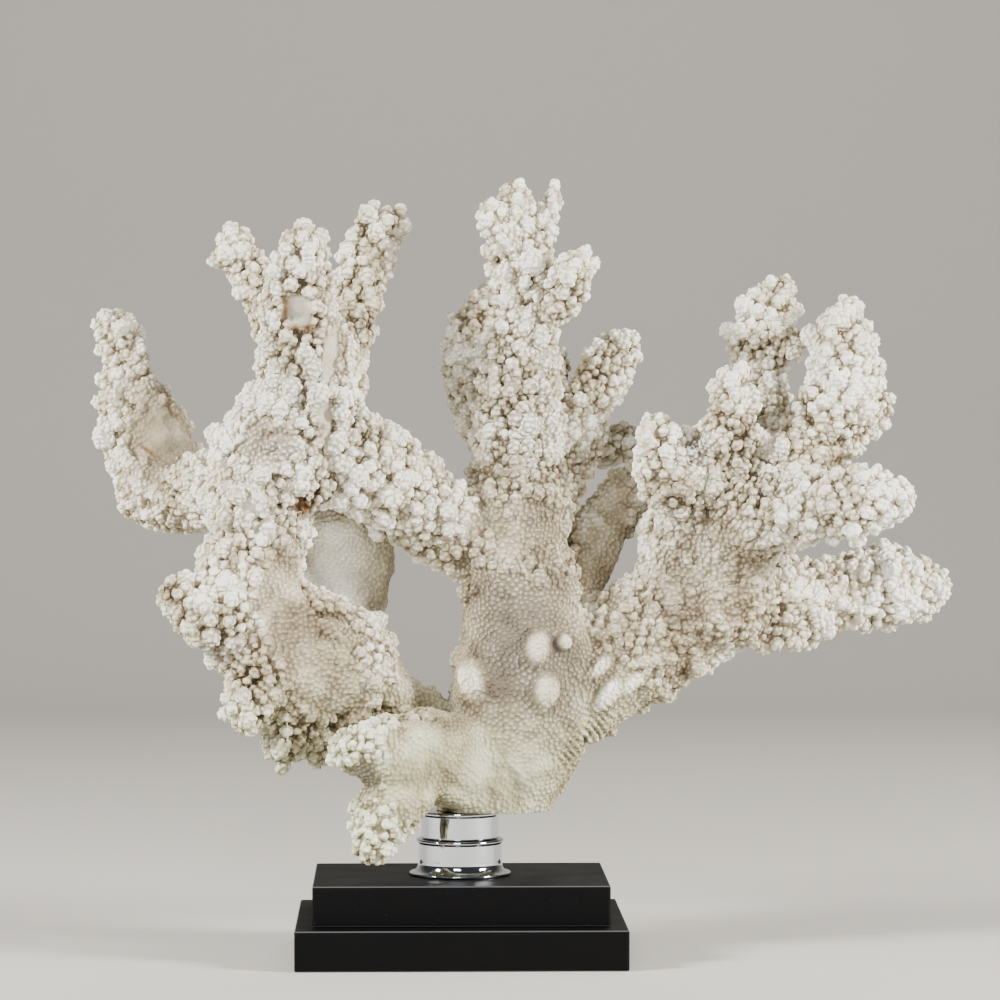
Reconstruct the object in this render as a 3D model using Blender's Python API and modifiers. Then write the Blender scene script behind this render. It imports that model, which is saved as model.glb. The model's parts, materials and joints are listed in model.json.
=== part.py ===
"""Branching coral on a stepped black plinth with a bright metal collar.

The coral is one grown piece, split at its main forks into limbs, fingers, lobes and tips. Each of those is
swept along its own route through a few hand-set stations and meets its neighbours with a hair gap. The stand is
two black boards with a two-part turned collar. The origin is the middle of the plinth's underside, +Z is up
and the front is towards -Y. Sizes are in millimetres until MM turns them to metres.
"""

import math

import bmesh
import bpy
from mathutils import Matrix, Vector

MM = 0.001

# The plinth: two boards of one thickness, and the eased edges of both.
BOARD_THICKNESS = 20.0
LOWER_BOARD_WIDTH, LOWER_BOARD_DEPTH = 163.0, 128.0
UPPER_BOARD_WIDTH, UPPER_BOARD_DEPTH = 146.0, 102.0
EDGE_RADIUS = 0.8

# The collar: a foot that flares out onto the plinth, a lower drum with a bead, and a slimmer upper drum.
COLLAR_HEIGHT = 32.0
FOOT_RADIUS, FOOT_THICKNESS = 26.5, 1.6
LOWER_DRUM_RADIUS, LOWER_DRUM_HEIGHT = 21.0, 18.0
BEAD_PROUD, BEAD_HEIGHT = 0.6, 1.4
UPPER_DRUM_RADIUS = 19.5
RIM_PROUD, RIM_HEIGHT = 0.7, 1.2
TURNED_STEPS = 40
FLARE_STEPS = 4

# Pieces that touch keep this gap. A limb is trimmed by its neighbour's shape grown by TRIM_GAP.
REST_GAP = 0.3
TRIM_GAP = 0.45

PLINTH_TOP = 2 * BOARD_THICKNESS + REST_GAP
COLLAR_FOOT_Z = PLINTH_TOP + REST_GAP
CORAL_CUT_Z = COLLAR_FOOT_Z + COLLAR_HEIGHT + REST_GAP

# Each swept shape: how deep its section is as a share of its width, then its stations from root to tip as
# (x, y, z, half width).
SHAPES = {
    "trunk": (0.80, [(15, 0, 66, 26), (19, 0, 92, 31), (30, 0, 120, 35), (34, 0, 150, 35), (30, 0, 180, 28),
                     (27, 1, 208, 26), (28, 2, 235, 23)]),
    "trunk_rear_knob": (0.85, [(28, 16, 126, 19), (22, 36, 138, 15), (18, 46, 148, 10)]),
    "fan": (0.60, [(50, 2, 125, 25), (66, 3, 138, 28), (88, 5, 157, 30), (113, 6, 172, 31), (127, 6, 194, 36),
                   (130, 4, 218, 36), (125, 0, 238, 26)]),
    "fan_left_knob": (0.80, [(108, -4, 232, 18), (102, -10, 250, 15), (98, -14, 260, 9)]),
    "fan_middle_knob": (0.80, [(131, -8, 246, 15), (135, -16, 267, 12), (137, -20, 283, 9)]),
    "fan_rear_knob": (0.85, [(116, 14, 192, 20), (120, 34, 202, 15), (122, 44, 210, 10)]),
    "fan_left_finger": (0.85, [(150, 6, 249, 15), (152, 18, 275, 11), (152, 24, 292, 12), (153, 28, 308, 13),
                               (158, 32, 322, 12), (162, 34, 332, 9)]),
    "fan_left_nub": (0.90, [(160, 22, 304, 8), (171, 20, 309, 6)]),
    "fan_right_finger": (0.75, [(150, 2, 232, 21), (168, -4, 248, 18), (183, -8, 266, 18), (191, -12, 288, 17),
                                (190, -14, 305, 15)]),
    "fan_right_low_nub": (0.85, [(181, -6, 261, 11), (196, -6, 257, 7)]),
    "fan_right_rear_tip": (0.90, [(191, 2, 302, 10), (197, 16, 320, 6), (198, 18, 327, 4)]),
    "fan_right_front_tip": (0.90, [(186, 0, 310, 7), (188, 4, 322, 5)]),
    "fan_right_nub": (0.90, [(190, -8, 264, 13), (202, -6, 270, 9), (211, -4, 273, 5)]),
    "upper_finger": (0.80, [(138, -6, 220, 22), (164, -20, 225, 18), (187, -30, 227, 16), (204, -36, 228, 14),
                            (213, -38, 228, 10)]),
    "lower_finger": (0.75, [(120, 4, 178, 30), (148, 6, 178, 24), (173, 8, 176, 18), (196, 12, 180, 17),
                            (216, 16, 184, 20), (234, 18, 183, 14)]),
    "tower": (0.85, [(29, 2, 225, 23), (29, 3, 250, 20), (30, 4, 280, 20), (33, 4, 310, 20), (32, 2, 335, 15),
                     (31, 0, 352, 12)]),
    "tower_tip_left": (0.90, [(24, -4, 356, 8), (15, -12, 369, 6)]),
    "tower_tip_centre": (0.90, [(30, 0, 356, 11), (28, -2, 372, 10), (29, -2, 379, 6)]),
    "tower_tip_right": (0.90, [(38, 4, 356, 9), (44, 8, 374, 6), (47, 8, 382, 4)]),
    "tower_right_nub": (0.90, [(41, -4, 324, 12), (53, -12, 337, 11), (57, -16, 345, 8)]),
    "tower_left_sliver": (0.90, [(26, 12, 332, 7), (20, 22, 348, 5), (17, 26, 355, 4)]),
    "tower_rear_sliver": (0.90, [(46, 12, 270, 6), (51, 24, 290, 4), (53, 28, 298, 4)]),
    "tower_rear_finger": (0.80, [(20, 12, 262, 13), (8, 28, 284, 11), (6, 36, 303, 11), (13, 40, 321, 10),
                                 (20, 42, 331, 8)]),
    "centre_finger": (0.85, [(38, 4, 216, 15), (54, 12, 252, 13), (67, 18, 279, 13), (77, 22, 296, 13),
                             (82, 24, 303, 9)]),
    "rear_small_finger": (0.90, [(50, 24, 247, 8), (71, 48, 254, 7), (84, 60, 261, 6)]),
    "rear_small_nub": (0.90, [(73, 50, 253, 6), (86, 56, 250, 6)]),
    "rear_web": (0.45, [(42, 10, 170, 18), (58, 20, 190, 17), (71, 27, 210, 15), (84, 31, 227, 14),
                        (95, 33, 241, 12)]),
    "arch": (0.70, [(-66, -18, 252, 25), (-44, -14, 242, 24), (-14, -8, 221, 20), (14, -2, 206, 22)]),
    "crown": (0.75, [(-99, -20, 226, 25), (-90, -24, 250, 30), (-77, -26, 276, 26), (-77, -28, 297, 21),
                     (-79, -32, 317, 17), (-79, -36, 334, 16), (-78, -38, 349, 12)]),
    "crown_left_tip": (0.85, [(-88, -14, 306, 10), (-104, 4, 340, 8), (-114, 12, 360, 6)]),
    "crown_left_nub": (0.90, [(-107, 4, 342, 6), (-118, 4, 349, 5)]),
    "crown_right_tip": (0.80, [(-64, -14, 274, 15), (-59, -4, 300, 11), (-55, 4, 318, 10), (-48, 12, 340, 11),
                               (-44, 16, 357, 11)]),
    "crown_right_tine": (0.90, [(-39, 16, 357, 7), (-32, 20, 371, 5)]),
    "crown_middle_tine": (0.90, [(-46, 16, 360, 8), (-45, 14, 371, 6)]),
    "crown_right_nub": (0.90, [(-53, 12, 347, 6), (-58, 10, 355, 5)]),
    "left_limb": (0.65, [(-98, -20, 234, 26), (-101, -22, 208, 23), (-103, -22, 181, 26), (-88, -16, 156, 33),
                         (-61, -8, 140, 31), (-37, 0, 124, 20), (-6, 4, 105, 17)]),
    "left_limb_nub": (0.85, [(-110, -24, 171, 20), (-127, -32, 176, 16), (-138, -36, 183, 9)]),
    "left_limb_low_nub": (0.85, [(-95, -20, 140, 16), (-103, -26, 128, 12), (-105, -28, 122, 8)]),
    "left_limb_low_tine": (0.90, [(-84, -14, 118, 14), (-87, -16, 106, 8)]),
    "left_limb_low_lobe": (0.90, [(-70, -8, 118, 14), (-70, -10, 108, 10)]),
    "left_limb_rear_knob": (0.85, [(-86, 0, 150, 18), (-84, 20, 144, 14), (-84, 30, 141, 10)]),
    "rear_plate": (0.40, [(-106, -4, 228, 15), (-126, 26, 233, 19), (-146, 44, 234, 23), (-159, 54, 255, 23),
                          (-168, 60, 281, 17), (-171, 62, 302, 11), (-174, 62, 317, 9)]),
    "rear_bulb": (0.90, [(-64, -2, 226, 13), (-62, 22, 204, 21), (-56, 30, 188, 22), (-57, 22, 172, 17)]),
    "rear_bulb_back": (0.90, [(-48, 22, 214, 15), (-46, 34, 196, 15)]),
    "front_lobe": (0.75, [(2, -12, 98, 22), (-17, -30, 102, 23), (-38, -42, 104, 18), (-52, -46, 107, 11)]),
    "hanging_lobe": (0.80, [(-21, -36, 88, 15), (-38, -44, 75, 14), (-43, -46, 62, 10)]),
}

# The coral's nodes in the order they are trimmed: each gives way to those before it.
CORAL_NODES = {
    "coral_trunk": ["trunk", "trunk_rear_knob"],
    "coral_fan": ["fan", "fan_left_knob", "fan_middle_knob", "fan_rear_knob"],
    "coral_tower": ["tower", "tower_tip_left", "tower_tip_centre", "tower_tip_right", "tower_right_nub",
                    "tower_left_sliver", "tower_rear_sliver"],
    "coral_left_limb": ["left_limb", "left_limb_nub", "left_limb_low_nub", "left_limb_low_tine",
                        "left_limb_low_lobe", "left_limb_rear_knob"],
    "coral_crown": ["crown"],
    "coral_arch": ["arch"],
    "coral_front_lobe": ["front_lobe", "hanging_lobe"],
    "coral_fan_left_finger": ["fan_left_finger", "fan_left_nub"],
    "coral_fan_right_finger": ["fan_right_finger", "fan_right_low_nub", "fan_right_rear_tip",
                               "fan_right_front_tip", "fan_right_nub"],
    "coral_upper_finger": ["upper_finger"],
    "coral_lower_finger": ["lower_finger"],
    "coral_centre_finger": ["centre_finger"],
    "coral_tower_rear_finger": ["tower_rear_finger"],
    "coral_crown_left_tip": ["crown_left_tip", "crown_left_nub"],
    "coral_crown_right_tip": ["crown_right_tip", "crown_right_tine", "crown_middle_tine", "crown_right_nub"],
    "coral_rear_plate": ["rear_plate"],
    "coral_rear_bulb": ["rear_bulb", "rear_bulb_back"],
    "coral_rear_web": ["rear_web"],
    "coral_rear_small_finger": ["rear_small_finger", "rear_small_nub"],
}

ROUTE_STEPS = 4
SECTION_RESOLUTION = 4
MERGE_VOXEL = 2.4
FACES_PER_CM2 = 1.9
FEWEST_FACES = 170

# A swept tip ends in these rounding sections: how far past the last station, and how wide, in half widths.
ROUNDED_TIP = [(0.45, 0.88), (0.80, 0.60), (0.97, 0.25)]


def clear_scene():
    for obj in list(bpy.data.objects):
        bpy.data.objects.remove(obj, do_unlink=True)


def new_collection(name):
    collection = bpy.data.collections.new(name)
    bpy.context.scene.collection.children.link(collection)
    return collection


def move_to(obj, collection):
    for holder in list(obj.users_collection):
        holder.objects.unlink(obj)
    collection.objects.link(obj)


def material(name, colour, roughness, metallic=0.0):
    made = bpy.data.materials.new(name)
    made.use_nodes = True
    shader = made.node_tree.nodes["Principled BSDF"]
    shader.inputs["Base Color"].default_value = (*colour, 1.0)
    shader.inputs["Roughness"].default_value = roughness
    shader.inputs["Metallic"].default_value = metallic
    return made


def smooth_route(stations):
    """Points on a Catmull-Rom curve through the stations, half widths included, then the rounded tip."""
    given = [Vector(station) for station in stations]
    ends = [2 * given[0] - given[1], *given, 2 * given[-1] - given[-2]]
    route = []
    for i in range(1, len(ends) - 2):
        before, start, end, after = ends[i - 1:i + 3]
        for step in range(ROUTE_STEPS):
            t = step / ROUTE_STEPS
            route.append(0.5 * (2 * start + (end - before) * t
                                + (2 * before - 5 * start + 4 * end - after) * t ** 2
                                + (3 * start - before - 3 * end + after) * t ** 3))
    last = given[-1]
    route.append(last)
    onwards = (last - given[-2]).to_3d().normalized()
    for ahead, share in ROUNDED_TIP:
        place = last.to_3d() + onwards * ahead * last[3]
        route.append(Vector((*place, last[3] * share)))
    return route


def swept_mesh(name):
    """The shape as a closed tube. It is swept round, then squeezed in Y to its depth share."""
    depth_share, stations = SHAPES[name]
    route = smooth_route(stations)
    curve = bpy.data.curves.new(name, "CURVE")
    curve.dimensions = "3D"
    curve.bevel_depth = MM
    curve.bevel_resolution = SECTION_RESOLUTION
    curve.use_fill_caps = True
    spline = curve.splines.new("POLY")
    spline.points.add(len(route) - 1)
    for point, (x, y, z, half_width) in zip(spline.points, route):
        point.co = (x * MM, y / depth_share * MM, z * MM, 1.0)
        point.radius = half_width
    swept = bpy.data.objects.new(name, curve)
    bpy.context.scene.collection.objects.link(swept)
    bpy.context.view_layer.update()
    mesh = bpy.data.meshes.new_from_object(swept.evaluated_get(bpy.context.evaluated_depsgraph_get()))
    mesh.transform(swept.matrix_world @ Matrix.Diagonal((1.0, depth_share, 1.0, 1.0)))
    bpy.data.objects.remove(swept)
    bpy.data.curves.remove(curve)
    return mesh


def evaluated_copy(obj):
    """The object's mesh with its modifiers carried out."""
    bpy.context.view_layer.update()
    return bpy.data.meshes.new_from_object(obj.evaluated_get(bpy.context.evaluated_depsgraph_get()))


def grown_together(node, shapes):
    """One closed mesh of a node's swept shapes, merged, smoothed and thinned to a facet for each small area."""
    joined = bmesh.new()
    for shape in shapes:
        joined.from_mesh(swept_mesh(shape))
    bmesh.ops.remove_doubles(joined, verts=joined.verts, dist=0.01 * MM)
    mesh = bpy.data.meshes.new(node)
    joined.to_mesh(mesh)
    joined.free()
    body = bpy.data.objects.new(node + "_blank", mesh)
    bpy.context.scene.collection.objects.link(body)
    merge = body.modifiers.new("Merge", "REMESH")
    merge.mode = "VOXEL"
    merge.voxel_size = MERGE_VOXEL * MM
    smooth = body.modifiers.new("Smooth", "SMOOTH")
    smooth.factor = 0.5
    smooth.iterations = 2
    merged = evaluated_copy(body)
    area_cm2 = sum(face.area for face in merged.polygons) * 1e4
    wanted = max(FEWEST_FACES, FACES_PER_CM2 * area_cm2)
    thin = body.modifiers.new("Thin", "DECIMATE")
    thin.ratio = min(1.0, wanted / (2 * len(merged.polygons)))
    thin.use_collapse_triangulate = True
    finished = evaluated_copy(body)
    bpy.data.objects.remove(body)
    return finished


def box_cutter(name, corner, opposite, cutters):
    """A block between two corners, hidden, for cutting."""
    size = Vector(opposite) - Vector(corner)
    bpy.ops.mesh.primitive_cube_add(size=1.0, location=(Vector(corner) + size / 2) * MM)
    block = bpy.context.object
    block.name = name
    block.data.transform(Matrix.Diagonal((*(size * MM), 1.0)))
    move_to(block, cutters)
    block.hide_render = True
    block.display_type = "WIRE"
    return block


def trimmer(node, mesh, cutters):
    """The node's shape grown outwards by the trimming gap, hidden. Later nodes are cut by it."""
    grown = bpy.data.objects.new(node + "_trimmer", mesh.copy())
    cutters.objects.link(grown)
    grow = grown.modifiers.new("Grow", "DISPLACE")
    grow.mid_level = 0.0
    grow.strength = TRIM_GAP * MM
    grown.hide_render = True
    grown.display_type = "WIRE"
    return grown


def cut(obj, cutter):
    trim = obj.modifiers.new("Trim by " + cutter.name, "BOOLEAN")
    trim.operation = "DIFFERENCE"
    trim.solver = "EXACT"
    trim.object = cutter


def boxes_meet(first, second):
    """Whether two meshes' bounding boxes overlap."""
    for axis in range(3):
        spans = []
        for mesh in (first, second):
            places = [vertex.co[axis] for vertex in mesh.vertices]
            spans.append((min(places), max(places)))
        if spans[0][1] < spans[1][0] or spans[1][1] < spans[0][0]:
            return False
    return True


def largest_body(mesh):
    """Keeps the largest of a mesh's separate bodies, where a trim has left a crumb beyond its neighbour."""
    work = bmesh.new()
    work.from_mesh(mesh)
    unseen = set(work.verts)
    bodies = []
    while unseen:
        body, edge = set(), [next(iter(unseen))]
        while edge:
            vert = edge.pop()
            if vert in body:
                continue
            body.add(vert)
            edge.extend(link.other_vert(vert) for link in vert.link_edges)
        unseen -= body
        bodies.append(body)
    keep = max(bodies, key=len)
    bmesh.ops.delete(work, geom=[vert for vert in work.verts if vert not in keep], context="VERTS")
    work.to_mesh(mesh)
    work.free()


def build_coral(parts, cutters, finish):
    """Each node's merged shape, cut flat above the collar and trimmed by the nodes before it."""
    saw = box_cutter("saw_below_coral", (-14, -40, 20), (90, 40, CORAL_CUT_Z), cutters)
    shapes, trimmers = {}, {}
    for node, names in CORAL_NODES.items():
        shapes[node] = grown_together(node, names)
        trimmers[node] = trimmer(node, shapes[node], cutters)
    order = list(CORAL_NODES)
    for place, node in enumerate(order):
        limb = bpy.data.objects.new(node, shapes[node])
        parts.objects.link(limb)
        if node in ("coral_trunk", "coral_front_lobe"):
            cut(limb, saw)
        for earlier in order[:place]:
            if boxes_meet(shapes[node], shapes[earlier]):
                cut(limb, trimmers[earlier])
        trimmed = evaluated_copy(limb)
        limb.modifiers.clear()
        largest_body(trimmed)
        trimmed.name = node
        limb.data = trimmed
        limb.data.materials.clear()
        limb.data.materials.append(finish)
        limb.data.shade_smooth()


def board(name, width, depth, base_z, parts, finish):
    """One board of the plinth, with eased edges."""
    bpy.ops.mesh.primitive_cube_add(size=1.0, location=(0, 0, (base_z + BOARD_THICKNESS / 2) * MM))
    block = bpy.context.object
    block.name = name
    block.data.transform(Matrix.Diagonal((width * MM, depth * MM, BOARD_THICKNESS * MM, 1.0)))
    ease = block.modifiers.new("Eased edges", "BEVEL")
    ease.width = EDGE_RADIUS * MM
    ease.segments = 2
    block.data.materials.append(finish)
    move_to(block, parts)


def turned(name, profile, parts, finish):
    """A solid turned about the Z axis from (radius, height) points that run from its top to its underside."""
    mesh = bpy.data.meshes.new(name)
    mesh.from_pydata([(radius * MM, 0.0, height * MM) for radius, height in profile],
                     [(i, i + 1) for i in range(len(profile) - 1)], [])
    drum = bpy.data.objects.new(name, mesh)
    parts.objects.link(drum)
    turn = drum.modifiers.new("Turn", "SCREW")
    turn.axis = "Z"
    turn.angle = math.tau
    turn.steps = turn.render_steps = TURNED_STEPS
    turn.use_merge_vertices = True
    turn.merge_threshold = 0.0001
    turn.use_smooth_shade = True
    drum.data.materials.append(finish)


def build_collar(parts, finish):
    """The lower drum with its flared foot and bead, and the slimmer upper drum with a turned-out rim."""
    shoulder = COLLAR_FOOT_Z + LOWER_DRUM_HEIGHT
    foot_top = COLLAR_FOOT_Z + FOOT_THICKNESS
    flare = FOOT_RADIUS - 1.0 - LOWER_DRUM_RADIUS
    lower = [(0, shoulder),
             (LOWER_DRUM_RADIUS + BEAD_PROUD * 0.4, shoulder),
             (LOWER_DRUM_RADIUS + BEAD_PROUD, shoulder - BEAD_HEIGHT * 0.3),
             (LOWER_DRUM_RADIUS + BEAD_PROUD, shoulder - BEAD_HEIGHT * 0.8),
             (LOWER_DRUM_RADIUS, shoulder - BEAD_HEIGHT * 1.2)]
    for step in range(FLARE_STEPS + 1):
        turn = math.radians(90 * step / FLARE_STEPS)
        lower.append((LOWER_DRUM_RADIUS + flare * (1 - math.cos(turn)), foot_top + flare * (1 - math.sin(turn))))
    lower += [(FOOT_RADIUS - 0.3, foot_top - 0.2),
              (FOOT_RADIUS, foot_top - FOOT_THICKNESS * 0.5),
              (FOOT_RADIUS - 0.3, COLLAR_FOOT_Z),
              (0, COLLAR_FOOT_Z)]
    turned("collar_lower_drum", lower, parts, finish)

    top = COLLAR_FOOT_Z + COLLAR_HEIGHT
    upper = [(0, top),
             (UPPER_DRUM_RADIUS + RIM_PROUD * 0.3, top),
             (UPPER_DRUM_RADIUS + RIM_PROUD, top - RIM_HEIGHT * 0.3),
             (UPPER_DRUM_RADIUS + RIM_PROUD, top - RIM_HEIGHT * 0.7),
             (UPPER_DRUM_RADIUS, top - RIM_HEIGHT * 1.4),
             (UPPER_DRUM_RADIUS, shoulder + REST_GAP),
             (0, shoulder + REST_GAP)]
    turned("collar_upper_drum", upper, parts, finish)


def main():
    clear_scene()
    parts = new_collection("branching_coral")
    cutters = new_collection("cutters")
    coral = material("bleached coral", (0.82, 0.79, 0.72), 0.85)
    black = material("black satin lacquer", (0.012, 0.012, 0.013), 0.38)
    chrome = material("chrome plate", (0.80, 0.81, 0.83), 0.06, 1.0)
    board("plinth_lower_board", LOWER_BOARD_WIDTH, LOWER_BOARD_DEPTH, 0.0, parts, black)
    board("plinth_upper_board", UPPER_BOARD_WIDTH, UPPER_BOARD_DEPTH, BOARD_THICKNESS + REST_GAP, parts, black)
    build_collar(parts, chrome)
    build_coral(parts, cutters, coral)


main()
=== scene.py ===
"""Looks of a bleached branching coral on its chromed collar and black stepped plinth.

The coral is grown from listed branch routes in five steps: tubes along the routes, a merged and filleted
body, knobs scattered over it, small round cups scattered over the knobs, and a split into closed pieces, one or
two for each solid of the frame. Lengths are in millimetres until a mesh is written, which is in metres.
"""

from __future__ import annotations

import logging
import math
from dataclasses import dataclass, field
from enum import Enum

import bpy
import numpy as np
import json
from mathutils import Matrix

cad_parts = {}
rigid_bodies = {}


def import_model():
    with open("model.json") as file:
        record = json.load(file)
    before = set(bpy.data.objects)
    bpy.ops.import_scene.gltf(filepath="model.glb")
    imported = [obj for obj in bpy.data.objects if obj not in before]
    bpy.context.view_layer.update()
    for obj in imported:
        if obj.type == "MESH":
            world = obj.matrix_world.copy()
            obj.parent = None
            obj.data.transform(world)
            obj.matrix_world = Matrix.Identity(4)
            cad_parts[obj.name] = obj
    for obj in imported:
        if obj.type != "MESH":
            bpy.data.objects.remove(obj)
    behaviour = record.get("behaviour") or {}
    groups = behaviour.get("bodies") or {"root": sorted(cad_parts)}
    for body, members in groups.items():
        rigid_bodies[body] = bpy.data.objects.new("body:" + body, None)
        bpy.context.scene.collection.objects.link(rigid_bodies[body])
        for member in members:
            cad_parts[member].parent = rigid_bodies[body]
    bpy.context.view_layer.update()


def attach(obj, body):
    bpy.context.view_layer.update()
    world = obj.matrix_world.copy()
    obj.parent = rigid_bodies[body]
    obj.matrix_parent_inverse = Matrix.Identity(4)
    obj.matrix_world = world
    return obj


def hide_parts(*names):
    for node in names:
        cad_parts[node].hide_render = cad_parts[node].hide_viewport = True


LOG = logging.getLogger("coral")
MM = 0.001
SEED = 20


def linear(hex_colour: str) -> tuple[float, float, float, float]:
    """Turn an sRGB hex value into linear light.

    Args:
        hex_colour: Six hex digits, with or without a leading #.

    Returns:
        Red, green and blue in linear light, and full opacity.
    """
    digits = hex_colour.lstrip("#")
    levels = [int(digits[i:i + 2], 16) / 255 for i in (0, 2, 4)]
    red, green, blue = [v / 12.92 if v <= 0.04045 else ((v + 0.055) / 1.055) ** 2.4 for v in levels]
    return red, green, blue, 1.0


def placed(name: str, data: bpy.types.ID) -> bpy.types.Object:
    """Put a mesh, a lamp or a camera into the scene as a new object at the origin.

    Args:
        name: Name of the object.
        data: What it shows.

    Returns:
        The new object.
    """
    made = bpy.data.objects.new(name, data)
    bpy.context.scene.collection.objects.link(made)
    return made


class Shape(Enum):
    """Ways in which a mark changes the coral's surface."""

    SWELLING = "rounded swelling"
    SCOOP = "hollow left by a break"
    BARE = "bare face without knobs or cups"
    PLAIN = "cups but no knobs"
    SCALES = "knobs that lie flat like scales"
    RIPPLES = "low ridges across the branch"
    WORN = "cups worn low"
    STAIN = "tan stain"
    # Grey dust, and painted shade where parts of the coral lie in shade.
    GREY = "grey dust"
    # Clean white skin, and painted light on parts that catch the light.
    PALE_SKIN_AND_PAINTED_LIGHT = "clean white skin"


# Weights at which a mark starts and at which it is full: a bare face ends sharply, and knobs thin out widely.
RIMS: dict[Shape, tuple[float, float]] = {Shape.BARE: (0.33, 0.53), Shape.PLAIN: (0.0, 0.55),
                                          Shape.SCALES: (0.0, 0.55)}
WIDE_RIM = (0.0, 0.9)


@dataclass(frozen=True)
class Mark:
    """One feature on the coral's surface, placed one by one.

    Attributes:
        shape: What it does to the surface.
        place: Its middle (x, y, z).
        size: Half its width and half its height.
        amount: Height, depth or strength, by its shape.
        tilt: Turn of its long axis from upright, in degrees, clockwise seen from the front.
    """

    shape: Shape
    place: tuple[float, float, float]
    size: tuple[float, float]
    amount: float = 1.0
    tilt: float = 0.0

    def weight(self, points: np.ndarray) -> np.ndarray:
        """Bell-shaped weight: e to the minus of the squared distance, with each axis in half sizes.

        Two crossed sine waves make the distance ragged by a tenth.

        Args:
            points: Places on the surface, one row each.

        Returns:
            Weight from 0 to 1 for each point.
        """
        across, up = self.turned(points)
        deep = (points[:, 1] - self.place[1]) / max(12.0, 0.6 * min(self.size))
        ragged = 1 + 0.1 * np.sin(0.5 * across + 0.7 * up) * np.sin(0.6 * up - 0.4 * across + 1.0)
        squared = (across / self.size[0]) ** 2 + (up / self.size[1]) ** 2 + deep ** 2
        return np.exp(-squared * ragged)

    def turned(self, points: np.ndarray) -> tuple[np.ndarray, np.ndarray]:
        """Distances from the mark's middle across it and up it, in its own turned axes.

        Args:
            points: Places on the surface, one row each.

        Returns:
            Distance across and distance up for each point.
        """
        angle = math.radians(self.tilt)
        x, z = points[:, 0] - self.place[0], points[:, 2] - self.place[2]
        return x * math.cos(angle) - z * math.sin(angle), x * math.sin(angle) + z * math.cos(angle)


@dataclass(frozen=True)
class Branch:
    """One limb, finger or lobe of the coral.

    Attributes:
        node: The solid of the frame that it belongs to.
        depth: How deep its section is as a share of its width.
        knobs: How knobbly its root and its tip are, from 0 to 1.
        stations: (x, y, z, half width) from root to tip.
    """

    node: str
    depth: float
    knobs: tuple[float, float]
    stations: tuple[tuple[float, float, float, float], ...]

    def route(self, steps: int) -> np.ndarray:
        """Catmull-Rom curve through the stations, half widths included.

        Args:
            steps: Points in each stretch between stations.

        Returns:
            Rows of x, y, z and half width.
        """
        given = np.array(self.stations, float)
        ends = np.vstack([2 * given[0] - given[1], given, 2 * given[-1] - given[-2]])
        t = np.linspace(0, 1, steps, endpoint=False)[None, :, None]
        a, b, c, d = (ends[i:len(ends) - 3 + i, None, :] for i in range(4))
        curve = 0.5 * (2 * b + (c - a) * t + (2 * a - 5 * b + 4 * c - d) * t ** 2
                       + (3 * b - a - 3 * c + d) * t ** 3)
        return np.vstack([curve.reshape(-1, 4), given[-1:]])

    def tube(self, sides: int, spare: float, shrink: float) -> tuple[np.ndarray, np.ndarray]:
        """Closed tube along the route with a half-round tip.

        Each ring is route point + radius * (cos a * side + sin a * back), with Y scaled by the depth share at
        the end. Past the tip the radius falls as the cosine and the ring moves on as the sine.

        Args:
            sides: Points in each ring.
            spare: Allowance for what smoothing takes off: radius grows by spare / (radius + 2).
            shrink: How much thinner the tube is where knobs are to cover it.

        Returns:
            Points, and triangles as rows of three indices.
        """
        route = self.route(6)
        share = np.linspace(0, 1, len(route))
        knobs = self.knobs[0] + share * (self.knobs[1] - self.knobs[0])
        route[:, 1] /= self.depth
        route[:, 3] += spare / (route[:, 3] + 2) - shrink * np.minimum(knobs * 1.5, 1)
        onwards = route[-1, :3] - route[-2, :3]
        onwards /= np.linalg.norm(onwards)
        turn = np.linspace(0, math.pi / 2, 7)[1:-1, None]
        tip = np.hstack([route[-1, :3] + onwards * route[-1, 3] * np.sin(turn),
                         route[-1, 3] * np.cos(turn)])
        rings = np.vstack([route, tip])
        along = np.gradient(rings[:, :3], axis=0)
        along /= np.linalg.norm(along, axis=1, keepdims=True)
        side = np.cross(along, (0.0, 1.0, 0.0))
        side /= np.linalg.norm(side, axis=1, keepdims=True)
        back = np.cross(along, side)
        a = np.linspace(0, math.tau, sides, endpoint=False)[None, :, None]
        outwards = np.cos(a) * side[:, None] + np.sin(a) * back[:, None]
        skin = rings[:, None, :3] + rings[:, None, 3:] * outwards
        end = rings[-1, :3] + onwards * (route[-1, 3] - np.linalg.norm(rings[-1, :3] - route[-1, :3]))
        points = np.vstack([skin.reshape(-1, 3), rings[0, :3], end])
        points[:, 1] *= self.depth
        quads = grid_quads(len(rings), sides, wrap=True)
        first, last = len(points) - 2, len(points) - 1
        ring = np.arange(sides)
        after = np.roll(ring, -1)
        top = (len(rings) - 1) * sides
        root_cap = np.stack([np.full(sides, first), ring, after], axis=1)
        tip_cap = np.stack([np.full(sides, last), top + after, top + ring], axis=1)
        return points, np.vstack([quads[:, [0, 1, 2]], quads[:, [0, 2, 3]], root_cap, tip_cap])


def grid_quads(rows: int, columns: int, wrap: bool) -> np.ndarray:
    """Quads of a grid of rows by columns points.

    Args:
        rows: Number of rows.
        columns: Number of points in a row.
        wrap: Whether each row closes on itself.

    Returns:
        Rows of four indices.
    """
    start = np.arange(rows - 1)[:, None] * columns
    here = np.arange(columns if wrap else columns - 1)[None, :]
    after = (here + 1) % columns
    quads = np.stack([start + here, start + columns + here, start + columns + after, start + after], axis=-1)
    return quads.reshape(-1, 4)


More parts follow.
